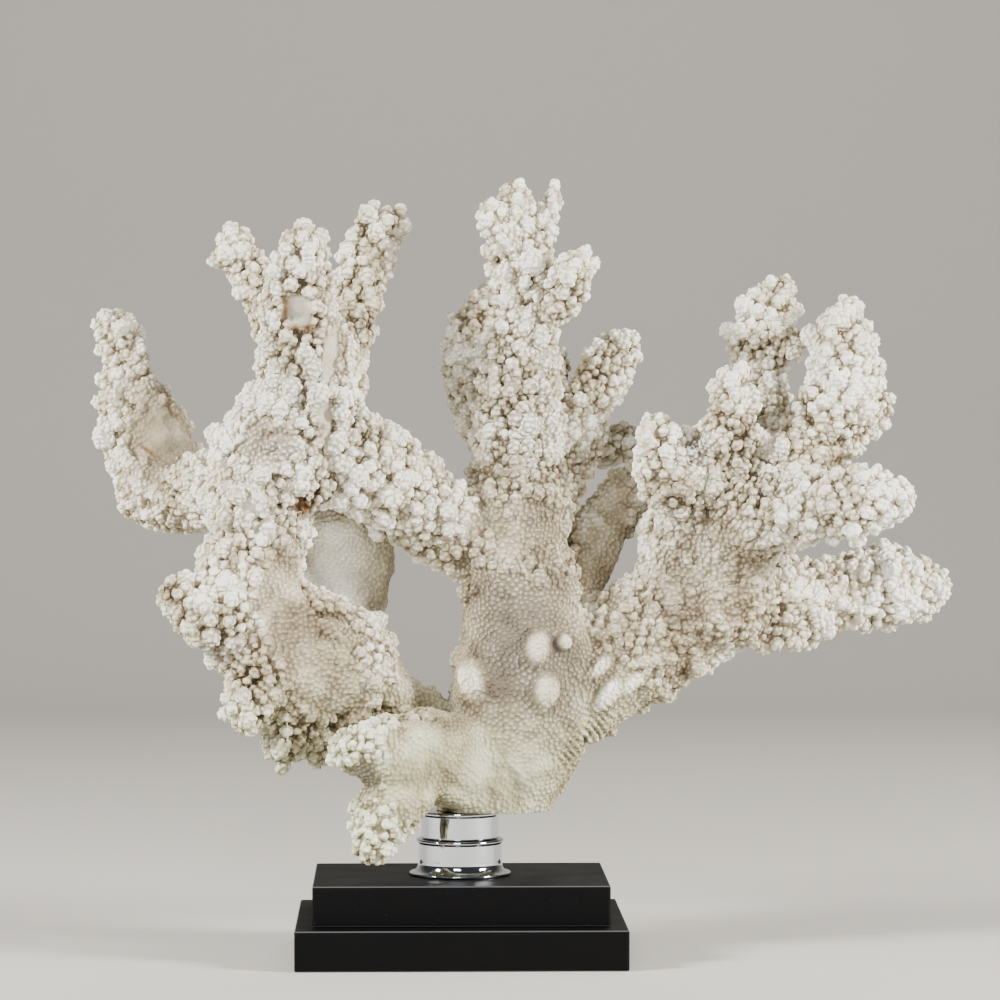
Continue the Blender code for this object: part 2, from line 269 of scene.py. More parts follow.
def mesh_from(name: str, points: np.ndarray, faces: np.ndarray, scale: float = 1.0) -> bpy.types.Mesh:
    """Write whole arrays into a new mesh.

    Args:
        name: Name of the mesh.
        points: One row of x, y and z for each vertex.
        faces: One row of indices for each face, all of one length.
        scale: Factor on every point.

    Returns:
        The new mesh.
    """
    mesh = bpy.data.meshes.new(name)
    corners = faces.shape[1]
    mesh.vertices.add(len(points))
    mesh.vertices.foreach_set("co", (points * scale).astype(np.float32).ravel())
    mesh.loops.add(faces.size)
    mesh.loops.foreach_set("vertex_index", faces.astype(np.int32).ravel())
    mesh.polygons.add(len(faces))
    mesh.polygons.foreach_set("loop_start", np.arange(0, faces.size, corners, dtype=np.int32))
    mesh.update(calc_edges=True)
    return mesh


def arrays_from(mesh: bpy.types.Mesh) -> tuple[np.ndarray, np.ndarray]:
    """Read a mesh back as whole arrays of points and triangles.

    Args:
        mesh: Any mesh.

    Returns:
        Points and triangles.
    """
    points = np.empty(len(mesh.vertices) * 3, np.float32)
    mesh.vertices.foreach_get("co", points)
    mesh.calc_loop_triangles()
    triangles = np.empty(len(mesh.loop_triangles) * 3, np.int32)
    mesh.loop_triangles.foreach_get("vertices", triangles)
    return points.reshape(-1, 3).astype(float), triangles.reshape(-1, 3)


def quads_from(mesh: bpy.types.Mesh) -> tuple[np.ndarray, np.ndarray]:
    """Read a mesh of quads back as whole arrays.

    Args:
        mesh: A mesh whose faces all have four corners.

    Returns:
        Points and quads.
    """
    points = np.empty(len(mesh.vertices) * 3, np.float32)
    mesh.vertices.foreach_get("co", points)
    corners = np.empty(len(mesh.loops), np.int32)
    mesh.loops.foreach_get("vertex_index", corners)
    return points.reshape(-1, 3).astype(float), corners.reshape(-1, 4)


def corner_normals(points: np.ndarray, faces: np.ndarray) -> np.ndarray:
    """Unit normals at the points: the sum of the faces' normals, each the cross product of two diagonals.

    Args:
        points: Vertex places.
        faces: Quads or triangles. For a triangle the second diagonal is its last side.

    Returns:
        One unit normal for each point.
    """
    corners = faces.shape[1]
    area = np.cross(points[faces[:, 2]] - points[faces[:, 0]], points[faces[:, -1]] - points[faces[:, 1]])
    normals = np.zeros_like(points)
    for axis in range(3):
        normals[:, axis] = np.bincount(faces.ravel(), np.repeat(area[:, axis], corners), len(points))
    return normals / np.maximum(np.linalg.norm(normals, axis=1, keepdims=True), 1e-9)


def soft_noise(points: np.ndarray, cell: float, rng: np.random.Generator) -> np.ndarray:
    """Random values on a lattice, blended between its eight nearest points by t * t * (3 - 2t) on each axis.

    Args:
        points: Places to read the noise at.
        cell: Spacing of the lattice.
        rng: Source of the values.

    Returns:
        A value from -1 to 1 for each point.
    """
    spot = (points - points.min(axis=0)) / cell
    base = np.floor(spot).astype(int)
    lattice = rng.uniform(-1, 1, base.max(axis=0) + 2)
    t = spot - base
    t = t * t * (3 - 2 * t)
    total = np.zeros(len(points))
    for i, j, k in ((i, j, k) for i in (0, 1) for j in (0, 1) for k in (0, 1)):
        share = ((t[:, 0] if i else 1 - t[:, 0]) * (t[:, 1] if j else 1 - t[:, 1])
                 * (t[:, 2] if k else 1 - t[:, 2]))
        total += share * lattice[base[:, 0] + i, base[:, 1] + j, base[:, 2] + k]
    return total


class CellHash:
    """Points sorted into cubic cells, for finding what lies near what with whole arrays."""

    def __init__(self, points: np.ndarray, reach: float) -> None:
        """Sort the points by cell.

        Args:
            points: Places to be found.
            reach: Side of a cell, and the greatest distance asked for.
        """
        self.points = points
        self.reach = reach
        self.low = points.min(axis=0) - 4 * reach
        keys = self.keys(points)
        self.order = np.argsort(keys, kind="stable")
        self.sorted_keys = keys[self.order]

    def keys(self, points: np.ndarray, offset: tuple[int, int, int] = (0, 0, 0)) -> np.ndarray:
        """Number of each point's cell, moved by an offset in whole cells: x, y and z in 21 bits each.

        Args:
            points: Places.
            offset: Whole cells to move by.

        Returns:
            One number for each point.
        """
        cells = np.floor((points - self.low) / self.reach).astype(np.int64) + np.array(offset)
        return (cells[:, 0] << 42) + (cells[:, 1] << 21) + cells[:, 2]

    def near(self, points: np.ndarray,
             offset: tuple[int, int, int]) -> tuple[np.ndarray, np.ndarray, np.ndarray]:
        """Pairs of an asked point and a stored point in the cell at an offset from the asked point's own.

        Args:
            points: Places to look from.
            offset: Which cell to look in.

        Returns:
            Index of the asked point, index of the stored point, and the distance between them.
        """
        wanted = self.keys(points, offset)
        first = np.searchsorted(self.sorted_keys, wanted, "left")
        count = np.searchsorted(self.sorted_keys, wanted, "right") - first
        asked = np.repeat(np.arange(len(points)), count)
        step = np.arange(len(asked)) - np.repeat(np.cumsum(count) - count, count)
        stored = self.order[np.repeat(first, count) + step]
        distance = np.linalg.norm(points[asked] - self.points[stored], axis=1)
        close = distance < self.reach
        return asked[close], stored[close], distance[close]


ALL_CELLS = [(i, j, k) for i in (-1, 0, 1) for j in (-1, 0, 1) for k in (-1, 0, 1)]


def well_spaced(points: np.ndarray, spacing: np.ndarray, rng: np.random.Generator) -> np.ndarray:
    """Pick points so that none is nearer to another than the mean of their spacings.

    Each point draws a lot. In each round, the points whose lot beats all their undecided neighbours' are
    taken, and their neighbours are dropped.

    Args:
        points: Candidates.
        spacing: Wanted spacing at each candidate.
        rng: Source of the lots.

    Returns:
        Indices of the points that are taken.
    """
    lot = rng.permutation(len(points))
    cells = CellHash(points, float(spacing.max()))
    pairs = []
    for offset in ALL_CELLS:
        one, other, distance = cells.near(points, offset)
        keep = (one < other) & (distance < 0.5 * (spacing[one] + spacing[other]))
        pairs.append(np.stack([one[keep], other[keep]]))
    one, other = np.hstack(pairs)
    undecided = np.ones(len(points), bool)
    taken = np.zeros(len(points), bool)
    while undecided.any():
        live = undecided[one] & undecided[other]
        one, other = one[live], other[live]
        winner = undecided.copy()
        winner[np.where(lot[one] < lot[other], one, other)] = False
        taken |= winner
        undecided &= ~winner
        beaten = taken[one] | taken[other]
        undecided[one[beaten]] = False
        undecided[other[beaten]] = False
    return np.nonzero(taken)[0]


def joined_groups(count: int, links: np.ndarray) -> np.ndarray:
    """Number the groups of items that links hold together, by handing the lowest number along the links.

    Args:
        count: Number of items.
        links: Rows of two linked items.

    Returns:
        The group's lowest item, for each item.
    """
    group = np.arange(count)
    while True:
        low = np.minimum(group[links[:, 0]], group[links[:, 1]])
        high = np.maximum(group[links[:, 0]], group[links[:, 1]])
        differ = low != high
        if not differ.any():
            return group
        np.minimum.at(group, high[differ], low[differ])
        while (group[group] != group).any():
            group = group[group]


BRANCHES: tuple[Branch, ...] = (
    Branch("coral_trunk", 0.80, (0.0, 0.3),
           ((15, 0, 66, 26), (19, 0, 92, 31), (30, 0, 120, 35), (34, 0, 150, 35), (30, 0, 180, 28),
            (27, 1, 208, 26), (28, 2, 235, 23))),
    Branch("coral_trunk", 0.85, (0.1, 0.5), ((28, 16, 126, 19), (22, 36, 138, 15), (18, 46, 148, 10))),
    Branch("coral_fan", 0.60, (0.1, 0.8),
           ((50, 2, 125, 25), (66, 3, 138, 28), (88, 5, 157, 30), (113, 6, 172, 31), (127, 6, 194, 36),
            (130, 4, 218, 36), (125, 0, 238, 26))),
    Branch("coral_fan", 0.80, (0.7, 0.9), ((108, -4, 232, 18), (102, -10, 250, 15), (98, -14, 260, 9))),
    Branch("coral_fan", 0.80, (0.7, 0.9), ((131, -8, 246, 15), (135, -16, 267, 12), (137, -20, 283, 9))),
    Branch("coral_fan", 0.85, (0.4, 0.8), ((116, 14, 192, 20), (120, 34, 202, 15), (122, 44, 210, 10))),
    Branch("coral_tower", 0.85, (0.4, 0.9),
           ((29, 2, 225, 23), (29, 3, 250, 20), (29, 4, 280, 19), (31, 4, 305, 17), (34, 2, 330, 12),
            (35, 0, 350, 11))),
    Branch("coral_tower", 0.90, (0.9, 1.0), ((26, -4, 356, 7), (13, -12, 370, 5))),
    Branch("coral_tower", 0.90, (0.9, 1.0), ((32, 0, 356, 10), (28, -2, 371, 8), (27, -2, 380, 5))),
    Branch("coral_tower", 0.90, (0.9, 1.0), ((38, 4, 354, 8), (44, 6, 371, 6), (47, 8, 382, 4))),
    Branch("coral_tower", 0.90, (0.9, 1.0), ((43, -4, 322, 9), (54, -12, 334, 8), (58, -15, 344, 6))),
    Branch("coral_tower", 0.90, (0.9, 1.0), ((26, 12, 332, 7), (20, 22, 348, 5), (17, 26, 355, 4))),
    Branch("coral_tower", 0.90, (0.8, 0.9), ((46, 12, 270, 6), (51, 24, 290, 4), (53, 28, 298, 4))),
    Branch("coral_left_limb", 0.65, (0.9, 0.05),
           ((-98, -20, 234, 26), (-101, -22, 208, 23), (-103, -22, 181, 26), (-88, -16, 156, 33),
            (-61, -8, 140, 31), (-37, 0, 124, 20), (-6, 4, 105, 17))),
    Branch("coral_left_limb", 0.85, (0.9, 1.0),
           ((-110, -24, 171, 20), (-127, -32, 176, 16), (-138, -36, 183, 9))),
    Branch("coral_left_limb", 0.85, (0.8, 1.0),
           ((-95, -20, 140, 16), (-103, -26, 128, 12), (-105, -28, 122, 8))),
    Branch("coral_left_limb", 0.90, (0.7, 0.9), ((-84, -14, 118, 14), (-87, -16, 106, 8))),
    Branch("coral_left_limb", 0.90, (0.5, 0.8), ((-70, -8, 118, 14), (-70, -10, 108, 10))),
    Branch("coral_left_limb", 0.85, (0.3, 0.8), ((-86, 0, 150, 18), (-84, 20, 144, 14), (-84, 30, 141, 10))),
    Branch("coral_crown", 0.75, (0.8, 0.9),
           ((-99, -20, 226, 25), (-90, -24, 250, 30), (-77, -26, 276, 26), (-77, -28, 297, 21),
            (-79, -32, 317, 17), (-79, -36, 334, 16), (-78, -38, 349, 12))),
    Branch("coral_arch", 0.70, (0.7, 0.45),
           ((-66, -18, 252, 25), (-44, -14, 242, 24), (-14, -8, 221, 20), (14, -2, 206, 22))),
    Branch("coral_front_lobe", 0.75, (0.0, 0.7),
           ((2, -12, 98, 22), (-17, -30, 102, 23), (-38, -42, 104, 18), (-52, -46, 107, 11))),
    Branch("coral_front_lobe", 0.80, (0.3, 0.7),
           ((-21, -36, 88, 15), (-38, -44, 75, 14), (-43, -46, 62, 10))),
    Branch("coral_fan_left_finger", 0.85, (0.8, 1.0),
           ((150, 6, 249, 15), (152, 18, 275, 11), (152, 24, 292, 12), (153, 28, 308, 13), (158, 32, 322, 12),
            (162, 34, 332, 9))),
    Branch("coral_fan_left_finger", 0.90, (1.0, 1.0), ((160, 22, 304, 8), (171, 20, 309, 6))),
    Branch("coral_fan_right_finger", 0.75, (0.7, 1.0),
           ((150, 2, 232, 21), (168, -4, 248, 18), (183, -8, 266, 18), (191, -12, 288, 17),
            (190, -14, 305, 15))),
    Branch("coral_fan_right_finger", 0.85, (1.0, 1.0), ((181, -6, 261, 11), (196, -6, 257, 7))),
    Branch("coral_fan_right_finger", 0.90, (1.0, 1.0),
           ((191, 2, 302, 10), (197, 16, 320, 6), (198, 18, 327, 4))),
    Branch("coral_fan_right_finger", 0.90, (1.0, 1.0), ((186, 0, 310, 7), (188, 4, 322, 5))),
    Branch("coral_fan_right_finger", 0.90, (1.0, 1.0),
           ((190, -8, 264, 13), (202, -6, 270, 9), (211, -4, 273, 5))),
    Branch("coral_upper_finger", 0.80, (0.5, 0.9),
           ((138, -6, 220, 22), (164, -20, 225, 18), (187, -30, 227, 16), (204, -36, 228, 14),
            (213, -38, 228, 10))),
    Branch("coral_lower_finger", 0.75, (0.2, 0.9),
           ((120, 4, 178, 30), (148, 6, 178, 24), (173, 8, 176, 18), (196, 12, 180, 17), (216, 16, 184, 20),
            (234, 18, 183, 14))),
    Branch("coral_centre_finger", 0.85, (0.3, 0.9),
           ((38, 4, 216, 15), (54, 12, 252, 13), (67, 18, 279, 13), (77, 22, 296, 13), (82, 24, 303, 9))),
    Branch("coral_tower_rear_finger", 0.80, (0.9, 1.0),
           ((20, 12, 262, 13), (6, 28, 284, 11), (3, 36, 301, 10), (11, 40, 321, 9), (18, 42, 332, 7))),
    Branch("coral_crown_left_tip", 0.85, (0.8, 1.0),
           ((-88, -14, 306, 10), (-104, 4, 340, 8), (-114, 12, 360, 6))),
    Branch("coral_crown_left_tip", 0.90, (1.0, 1.0), ((-107, 4, 342, 6), (-118, 4, 349, 5))),
    Branch("coral_crown_right_tip", 0.80, (0.3, 1.0),
           ((-64, -14, 274, 15), (-59, -4, 300, 11), (-55, 4, 318, 10), (-48, 12, 340, 11),
            (-44, 16, 357, 11))),
    Branch("coral_crown_right_tip", 0.90, (1.0, 1.0), ((-39, 16, 357, 7), (-32, 20, 371, 5))),
    Branch("coral_crown_right_tip", 0.90, (1.0, 1.0), ((-46, 16, 360, 8), (-45, 14, 371, 6))),
    Branch("coral_crown_right_tip", 0.90, (1.0, 1.0), ((-53, 12, 347, 6), (-58, 10, 355, 5))),
    Branch("coral_rear_plate", 0.40, (0.3, 0.9),
           ((-106, -4, 228, 15), (-126, 26, 233, 19), (-146, 44, 234, 23), (-159, 54, 255, 23),
            (-168, 57, 281, 17), (-171, 58, 302, 11), (-174, 58, 317, 9))),
    Branch("coral_rear_bulb", 0.90, (0.0, 0.0),
           ((-64, -2, 226, 13), (-62, 22, 204, 21), (-56, 30, 188, 22), (-57, 22, 172, 17))),
    Branch("coral_rear_bulb", 0.90, (0.0, 0.0), ((-48, 22, 214, 15), (-46, 34, 196, 15))),
    Branch("coral_rear_web", 0.45, (0.1, 0.5),
           ((42, 10, 170, 18), (58, 20, 190, 17), (71, 27, 210, 15), (84, 31, 227, 14), (95, 33, 241, 12))),
    Branch("coral_rear_small_finger", 0.90, (0.7, 0.9),
           ((50, 24, 247, 8), (71, 47, 254, 7), (84, 56, 261, 6))),
    Branch("coral_rear_small_finger", 0.90, (0.9, 0.9), ((73, 48, 253, 6), (86, 53, 250, 6))),
)

# The grey-dust marks are partly real grey dust and partly painted shade on the trunk, the middle of the fan and
# undersides. The pale marks are partly clean white skin and partly painted light on the outer tips and the rear
# bulb.
MARKS: tuple[Mark, ...] = (
    Mark(Shape.SWELLING, (6, -20, 139), (8.5, 12), 6.0, -12),
    Mark(Shape.SWELLING, (38, -30, 156), (6.2, 9), 5.6, 6),
    Mark(Shape.SWELLING, (51, -27, 158), (3.2, 4), 4.0),
    Mark(Shape.SWELLING, (42, -30, 134), (6.2, 10), 5.2, 6),
    Mark(Shape.SWELLING, (73, -15, 131), (5, 10), 3.4, 40),
    Mark(Shape.SWELLING, (86, -14, 137), (4, 9), 3.2, 48),
    Mark(Shape.SWELLING, (69, -14, 145), (4, 8), 3.0, 50),
    Mark(Shape.PLAIN, (30, -26, 135), (50, 60)),
    Mark(Shape.PLAIN, (29, -20, 199), (34, 30), 0.75),
    Mark(Shape.PLAIN, (-86, -36, 178), (14, 30)),
    Mark(Shape.PLAIN, (-64, -34, 138), (42, 22), 0.9, 60),
    Mark(Shape.PLAIN, (-20, -10, 118), (30, 22)),
    Mark(Shape.PLAIN, (-148, 42, 256), (18, 44), 1.0, -22),
    Mark(Shape.PLAIN, (-96, -46, 256), (15, 13), 0.9),
    Mark(Shape.PLAIN, (-47, -50, 93), (9, 9)),
    Mark(Shape.PLAIN, (-8, -36, 82), (18, 18)),
    Mark(Shape.WORN, (20, -28, 90), (54, 20), 0.45),
    Mark(Shape.WORN, (-16, -50, 98), (26, 24), 0.35),
    Mark(Shape.WORN, (-150, 42, 262), (18, 44), 0.5, -22),
    Mark(Shape.PLAIN, (-14, -48, 100), (28, 26), 0.9),
    Mark(Shape.PLAIN, (72, -10, 128), (34, 18), 0.9, 60),
    Mark(Shape.PLAIN, (110, -15, 155), (40, 14), 0.8, 60),
    Mark(Shape.PLAIN, (195, -3, 172), (40, 9), 0.5, 90),
    Mark(Shape.PLAIN, (69, 18, 190), (16, 24), 0.9),
    Mark(Shape.PLAIN, (76, 20, 236), (12, 14), 0.9),
    Mark(Shape.PLAIN, (188, -22, 246), (9, 9)),
    Mark(Shape.SCALES, (128, -15, 192), (34, 28)),
    Mark(Shape.RIPPLES, (60, -9, 108), (24, 11), 1.0, -38),
    Mark(Shape.BARE, (-64, -40, 300), (4, 15), 0.8, 8),
    Mark(Shape.BARE, (-67, -40, 270), (3.5, 16), 0.7, -4),
    Mark(Shape.BARE, (-80, -42, 321), (8.5, 9)),
    Mark(Shape.SCOOP, (-80, -42, 321), (8, 8.5), 2.4),
    Mark(Shape.SCOOP, (-76, -36, 225), (4, 6), 8.0),
    Mark(Shape.STAIN, (-76, -32, 225), (4, 6)),
    Mark(Shape.STAIN, (-86, -42, 322), (1.8, 7), 1.0, 4),
    Mark(Shape.STAIN, (-74, -42, 317), (1.2, 4), 0.7, 12),
    Mark(Shape.STAIN, (-80, -42, 313), (9, 1.8), 0.7),
    Mark(Shape.STAIN, (-57, -38, 302), (1.2, 7), 1.0, 8),
    Mark(Shape.STAIN, (-93, -49, 262), (1.7, 1.7)),
    Mark(Shape.STAIN, (-158, 44, 252), (1.1, 7), 1.0, -56),
    Mark(Shape.STAIN, (-110, -39, 204), (2, 7), 0.8, 20),
    Mark(Shape.STAIN, (-104, -38, 161), (10, 2.5), 0.6),
    Mark(Shape.STAIN, (-109, -36, 135), (3, 3), 0.6),
    Mark(Shape.GREY, (33, -29, 164), (12, 4), 0.7),
    Mark(Shape.STAIN, (71, 18, 190), (8, 6), 0.6),
    Mark(Shape.GREY, (117, -19, 253), (7, 10), 1.0, 40),
    Mark(Shape.GREY, (148, -26, 243), (11, 13), 1.0, 20),
    Mark(Shape.GREY, (34, -18, 219), (14, 16), 0.5),
    Mark(Shape.GREY, (-106, -44, 239), (9, 7), 0.5),
    # Painted shade on the underside between the front lobe and the lobe that hangs below it.
    Mark(Shape.GREY, (-47, -50, 93), (8, 10), 1.0),
    Mark(Shape.GREY, (-121, -38, 155), (10, 7), 0.7, 50),
    Mark(Shape.GREY, (-45, -40, 126), (26, 7), 0.45, 70),
    # Painted shade over the trunk, which lies back from the light, with grey dust.
    Mark(Shape.GREY, (30, -28, 160), (48, 38), 1.0, 60),
    Mark(Shape.GREY, (104, -18, 200), (28, 36), 0.55, 30),
    Mark(Shape.GREY, (36, -14, 270), (26, 56), 0.6),
    Mark(Shape.GREY, (-80, -42, 290), (26, 60), 0.45),
    Mark(Shape.GREY, (-93, -46, 255), (17, 12), 0.8),
    Mark(Shape.PALE_SKIN_AND_PAINTED_LIGHT, (70, 22, 205), (24, 34), 1.0),
    Mark(Shape.GREY, (-146, 40, 250), (20, 30), 0.3, -22),
    Mark(Shape.PALE_SKIN_AND_PAINTED_LIGHT, (-68, -34, 148), (32, 26), 0.3),
    # Painted light on the rear bulb, which lies in shade.
    Mark(Shape.PALE_SKIN_AND_PAINTED_LIGHT, (-62, 6, 192), (30, 44), 2.4),
    Mark(Shape.PALE_SKIN_AND_PAINTED_LIGHT, (-84, -42, 330), (24, 24), 0.3),
    Mark(Shape.PALE_SKIN_AND_PAINTED_LIGHT, (-112, -40, 262), (14, 20), 0.8),
    Mark(Shape.PALE_SKIN_AND_PAINTED_LIGHT, (-118, -38, 190), (24, 30), 0.7),
    Mark(Shape.PALE_SKIN_AND_PAINTED_LIGHT, (-26, -52, 100), (44, 30), 1.2),
    Mark(Shape.PALE_SKIN_AND_PAINTED_LIGHT, (-38, -54, 68), (20, 18), 1.0),
    Mark(Shape.PALE_SKIN_AND_PAINTED_LIGHT, (12, -26, 90), (60, 24), 1.2),
    Mark(Shape.PALE_SKIN_AND_PAINTED_LIGHT, (200, -34, 230), (34, 16), 0.9),
    Mark(Shape.PALE_SKIN_AND_PAINTED_LIGHT, (222, 2, 184), (44, 24), 1.3),
    Mark(Shape.PALE_SKIN_AND_PAINTED_LIGHT, (192, -24, 282), (22, 36), 0.7),
    Mark(Shape.PALE_SKIN_AND_PAINTED_LIGHT, (30, -14, 350), (28, 30), 0.6),
    Mark(Shape.PALE_SKIN_AND_PAINTED_LIGHT, (-30, -28, 236), (40, 24), 0.2),
)


@dataclass
class GrownSurface:
    """The whole coral's fine surface with what was worked out at each of its points.

    Attributes:
        points: Vertex places.
        quads: Faces.
        normals: Direction outwards at each point.
        owner: Label of the piece that each face goes to.
        names: Node of each label.
        looks: Values for the finish at each point, by name.
    """

    points: np.ndarray
    quads: np.ndarray
    normals: np.ndarray
    owner: np.ndarray
    names: list[str]
    looks: dict[str, np.ndarray]


@dataclass
class NearestBranch:
    """For each point asked about, the branch that it lies on.

    Attributes:
        node: Index into the list of nodes.
        knobs: How knobbly the branch is there.
        half_width: The branch's half width there.
        heading: Unit direction towards the branch's tip.
    """

    node: np.ndarray
    knobs: np.ndarray
    half_width: np.ndarray
    heading: np.ndarray


@dataclass(frozen=True)
class KnobHabit:
    """How knobs stand on the coral.

    Attributes:
        candidate_area: Surface for each place that is tried.
        crowding: Chance of a knob for each unit of knobbliness.
        least: What is taken off that chance.
        patchy: Strength and cell of the noise that varies the chance.
        girth: Half size on the thinnest branch.
        per_width: What each millimetre of a branch's half width adds to it.
        spread: Deviation of the size's logarithm.
        share: Size where knobbliness is nothing, and what a full knobbliness adds, as factors.
        limits: Least and greatest half size.
        spacing: Distance between neighbours in half sizes.
        stubs: Share of the knobs that stand out like stubs.
        lean: How far a knob leans from the normal to the branch's tip, and how far a scale leans more.
        wander: Deviation of its direction.
    """

    candidate_area: float = 3.0
    crowding: float = 1.7
    least: float = 0.06
    patchy: tuple[float, float] = (0.4, 13.0)
    girth: float = 1.95
    per_width: float = 0.066
    spread: float = 0.32
    share: tuple[float, float] = (0.5, 0.55)
    limits: tuple[float, float] = (1.2, 5.2)
    spacing: float = 1.45
    stubs: float = 0.25
    lean: tuple[float, float] = (0.6, 0.6)
    wander: float = 0.22


@dataclass(frozen=True)
class ToneRecipe:
    """What makes the coral's skin lighter or darker, on a scale from tan dirt to clean white, painted light and
    shade included.

    Attributes:
        base: Tone of plain skin.
        knob: What a knob's full height adds to its root's tone, partly cleaner skin and partly painted light on
            its top, and what is taken off at its root.
        knob_height: Height over the body at which a knob is lightest.
        crevice: Tone lost for each millimetre of depth below the softened surface: tan dust and painted shade
            in the hollows.
        crevice_limits: Depths between which that counts.
        patches: Strength and cell of each layer of noise, fine ones first.
        pale: What clean white skin and painted light add.
        swollen: How much cleaner a swelling is.
        rim: Painted shade taken off around a swelling.
        bare: Tone of a bare face, and strength and cell of its noise.
    """

    base: float = 0.34
    knob: tuple[float, float] = (0.5, 0.04)
    knob_height: float = 4.0
    crevice: float = 0.25
    crevice_limits: tuple[float, float] = (-0.9, 1.3)
    patches: tuple[tuple[float, float], ...] = ((0.16, 7.0), (0.21, 15.0), (0.24, 30.0))
    pale: float = 0.2
    swollen: float = 2.2
    rim: float = 1.2
    bare: tuple[float, float, float] = (0.9, 0.14, 3.0)


@dataclass
class Coral:
    """The whole coral.

    Attributes:
        cut_height: Where the trunk is sawn flat above the collar.
        body_grain: Voxel of the filleted body.
        fillet_rounds: Smoothing rounds that fill the forks.
        shrink: How much thinner the body is where knobs cover it.
        fine_grain: Voxel of the finished surface, set by the limit on triangles.
        cup_pitch: Distance between the small round cups.
        cup_rounds: How often the cups are spread.
        cup_height: How far a cup stands out on plain skin and on knobs.
        knob_florets: How many smaller knobs crowd a knob.
        piece_quads: Most quads in one piece.
        stray_quads: Patches with fewer quads than this go to the node beside them.
        lumps: Strength and cell of each layer of low lumps on the body.
        roughness: Strength and cell of each layer of roughness on the finished surface.
        ripple_pitch: Distance from ridge to ridge of the ripples.
        soft_rounds: Smoothing rounds that give the surface against which crevices are measured.
        habit: How the knobs stand.
        tones: What makes the skin lighter or darker.
        nodes: Solids of the frame that the coral replaces, in the order of the branches.
    """

    cut_height: float = 72.9
    body_grain: float = 1.7
    fillet_rounds: int = 22
    shrink: float = 1.6
    fine_grain: float = 0.73
    cup_pitch: float = 1.95
    cup_rounds: int = 2
    cup_height: tuple[float, float] = (0.45, 1.2)
    knob_florets: int = 7
    piece_quads: int = 90000
    stray_quads: int = 2500
    lumps: tuple[tuple[float, float], ...] = ((2.4, 17.0), (1.3, 8.0))
    roughness: tuple[tuple[float, float], ...] = ((0.6, 3.2), (0.95, 6.5))
    ripple_pitch: float = 3.3
    soft_rounds: int = 30
    habit: KnobHabit = KnobHabit()
    tones: ToneRecipe = ToneRecipe()
    nodes: list[str] = field(default_factory=lambda: list(dict.fromkeys(b.node for b in BRANCHES)))

    def evaluated(self, mesh: bpy.types.Mesh, setup: list[tuple[str, dict[str, object]]]) -> bpy.types.Mesh:
        """Carry out modifiers on a mesh and return the result.

        Args:
            mesh: The mesh to start from, which is removed.
            setup: Kind and settings of each modifier.

        Returns:
            A new mesh.
        """
        blank = placed("blank", mesh)
        for kind, settings in setup:
            modifier = blank.modifiers.new(kind.title(), kind)
            for name, value in settings.items():
                setattr(modifier, name, value)
        bpy.context.view_layer.update()
        shown = blank.evaluated_get(bpy.context.evaluated_depsgraph_get())
        result = bpy.data.meshes.new_from_object(shown)
        bpy.data.objects.remove(blank)
        bpy.data.meshes.remove(mesh)
        return result

    def softened(self, points: np.ndarray, quads: np.ndarray, rounds: int) -> np.ndarray:
        """Average the points with their neighbours, again and again.

        Args:
            points: Vertex places.
            quads: Faces.
            rounds: How many times.

        Returns:
            The moved points.
        """
        mesh = self.evaluated(mesh_from("soft", points, quads),
                              [("SMOOTH", {"factor": 0.5, "iterations": rounds})])
        result = quads_from(mesh)[0]
        bpy.data.meshes.remove(mesh)
        return result

    def nearest_branch(self, points: np.ndarray, margin: float) -> NearestBranch:
        """Find each point's branch: the one with the least (distance to its route - its radius there).

        Args:
            points: Places on or near the surface.
            margin: How far outside a branch's tube a point may still belong to it.

        Returns:
            The branch's data at each point.
        """
        gap = np.full(len(points), np.inf)
        found = NearestBranch(np.zeros(len(points), int), np.zeros(len(points)), np.zeros(len(points)),
                              np.zeros((len(points), 3)))
        for branch in BRANCHES:
            route = branch.route(3)
            low = (route[:, :3] - route[:, 3:] - margin).min(axis=0)
            high = (route[:, :3] + route[:, 3:] + margin).max(axis=0)
            inside = np.nonzero(((points > low) & (points < high)).all(axis=1))[0]
            if not len(inside):
                continue
            squeeze = np.array([1.0, 1.0 / branch.depth, 1.0])
            spot = points[inside] * squeeze
            ends = route[:, :3] * squeeze
            for k in range(len(route) - 1):
                step = ends[k + 1] - ends[k]
                share = np.clip((spot - ends[k]) @ step / (step @ step), 0, 1)
                radius = route[k, 3] + share * (route[k + 1, 3] - route[k, 3])
                away = np.linalg.norm(spot - ends[k] - share[:, None] * step, axis=1) - radius
                better = away < gap[inside]
                hit = inside[better]
                gap[hit] = away[better]
                along = (k + share[better]) / (len(route) - 1)
                found.node[hit] = self.nodes.index(branch.node)
                found.knobs[hit] = branch.knobs[0] + along * (branch.knobs[1] - branch.knobs[0])
                found.half_width[hit] = radius[better]
                found.heading[hit] = (step / squeeze) / np.linalg.norm(step / squeeze)
        return found

    def nearest_by_cell(self, points: np.ndarray, cell: float) -> NearestBranch:
        """Find each point's branch, asking once for all the points in a small cubic cell.

        Args:
            points: Places on the surface.
            cell: Side of a cell.

        Returns:
            The branch's data at each point.
        """
        cells = np.floor((points - points.min(axis=0)) / cell).astype(np.int64)
        key = (cells[:, 0] << 40) + (cells[:, 1] << 20) + cells[:, 2]
        _, first, which = np.unique(key, return_index=True, return_inverse=True)
        found = self.nearest_branch(points[first], 12.0)
        return NearestBranch(found.node[which], found.knobs[which], found.half_width[which],
                             found.heading[which])

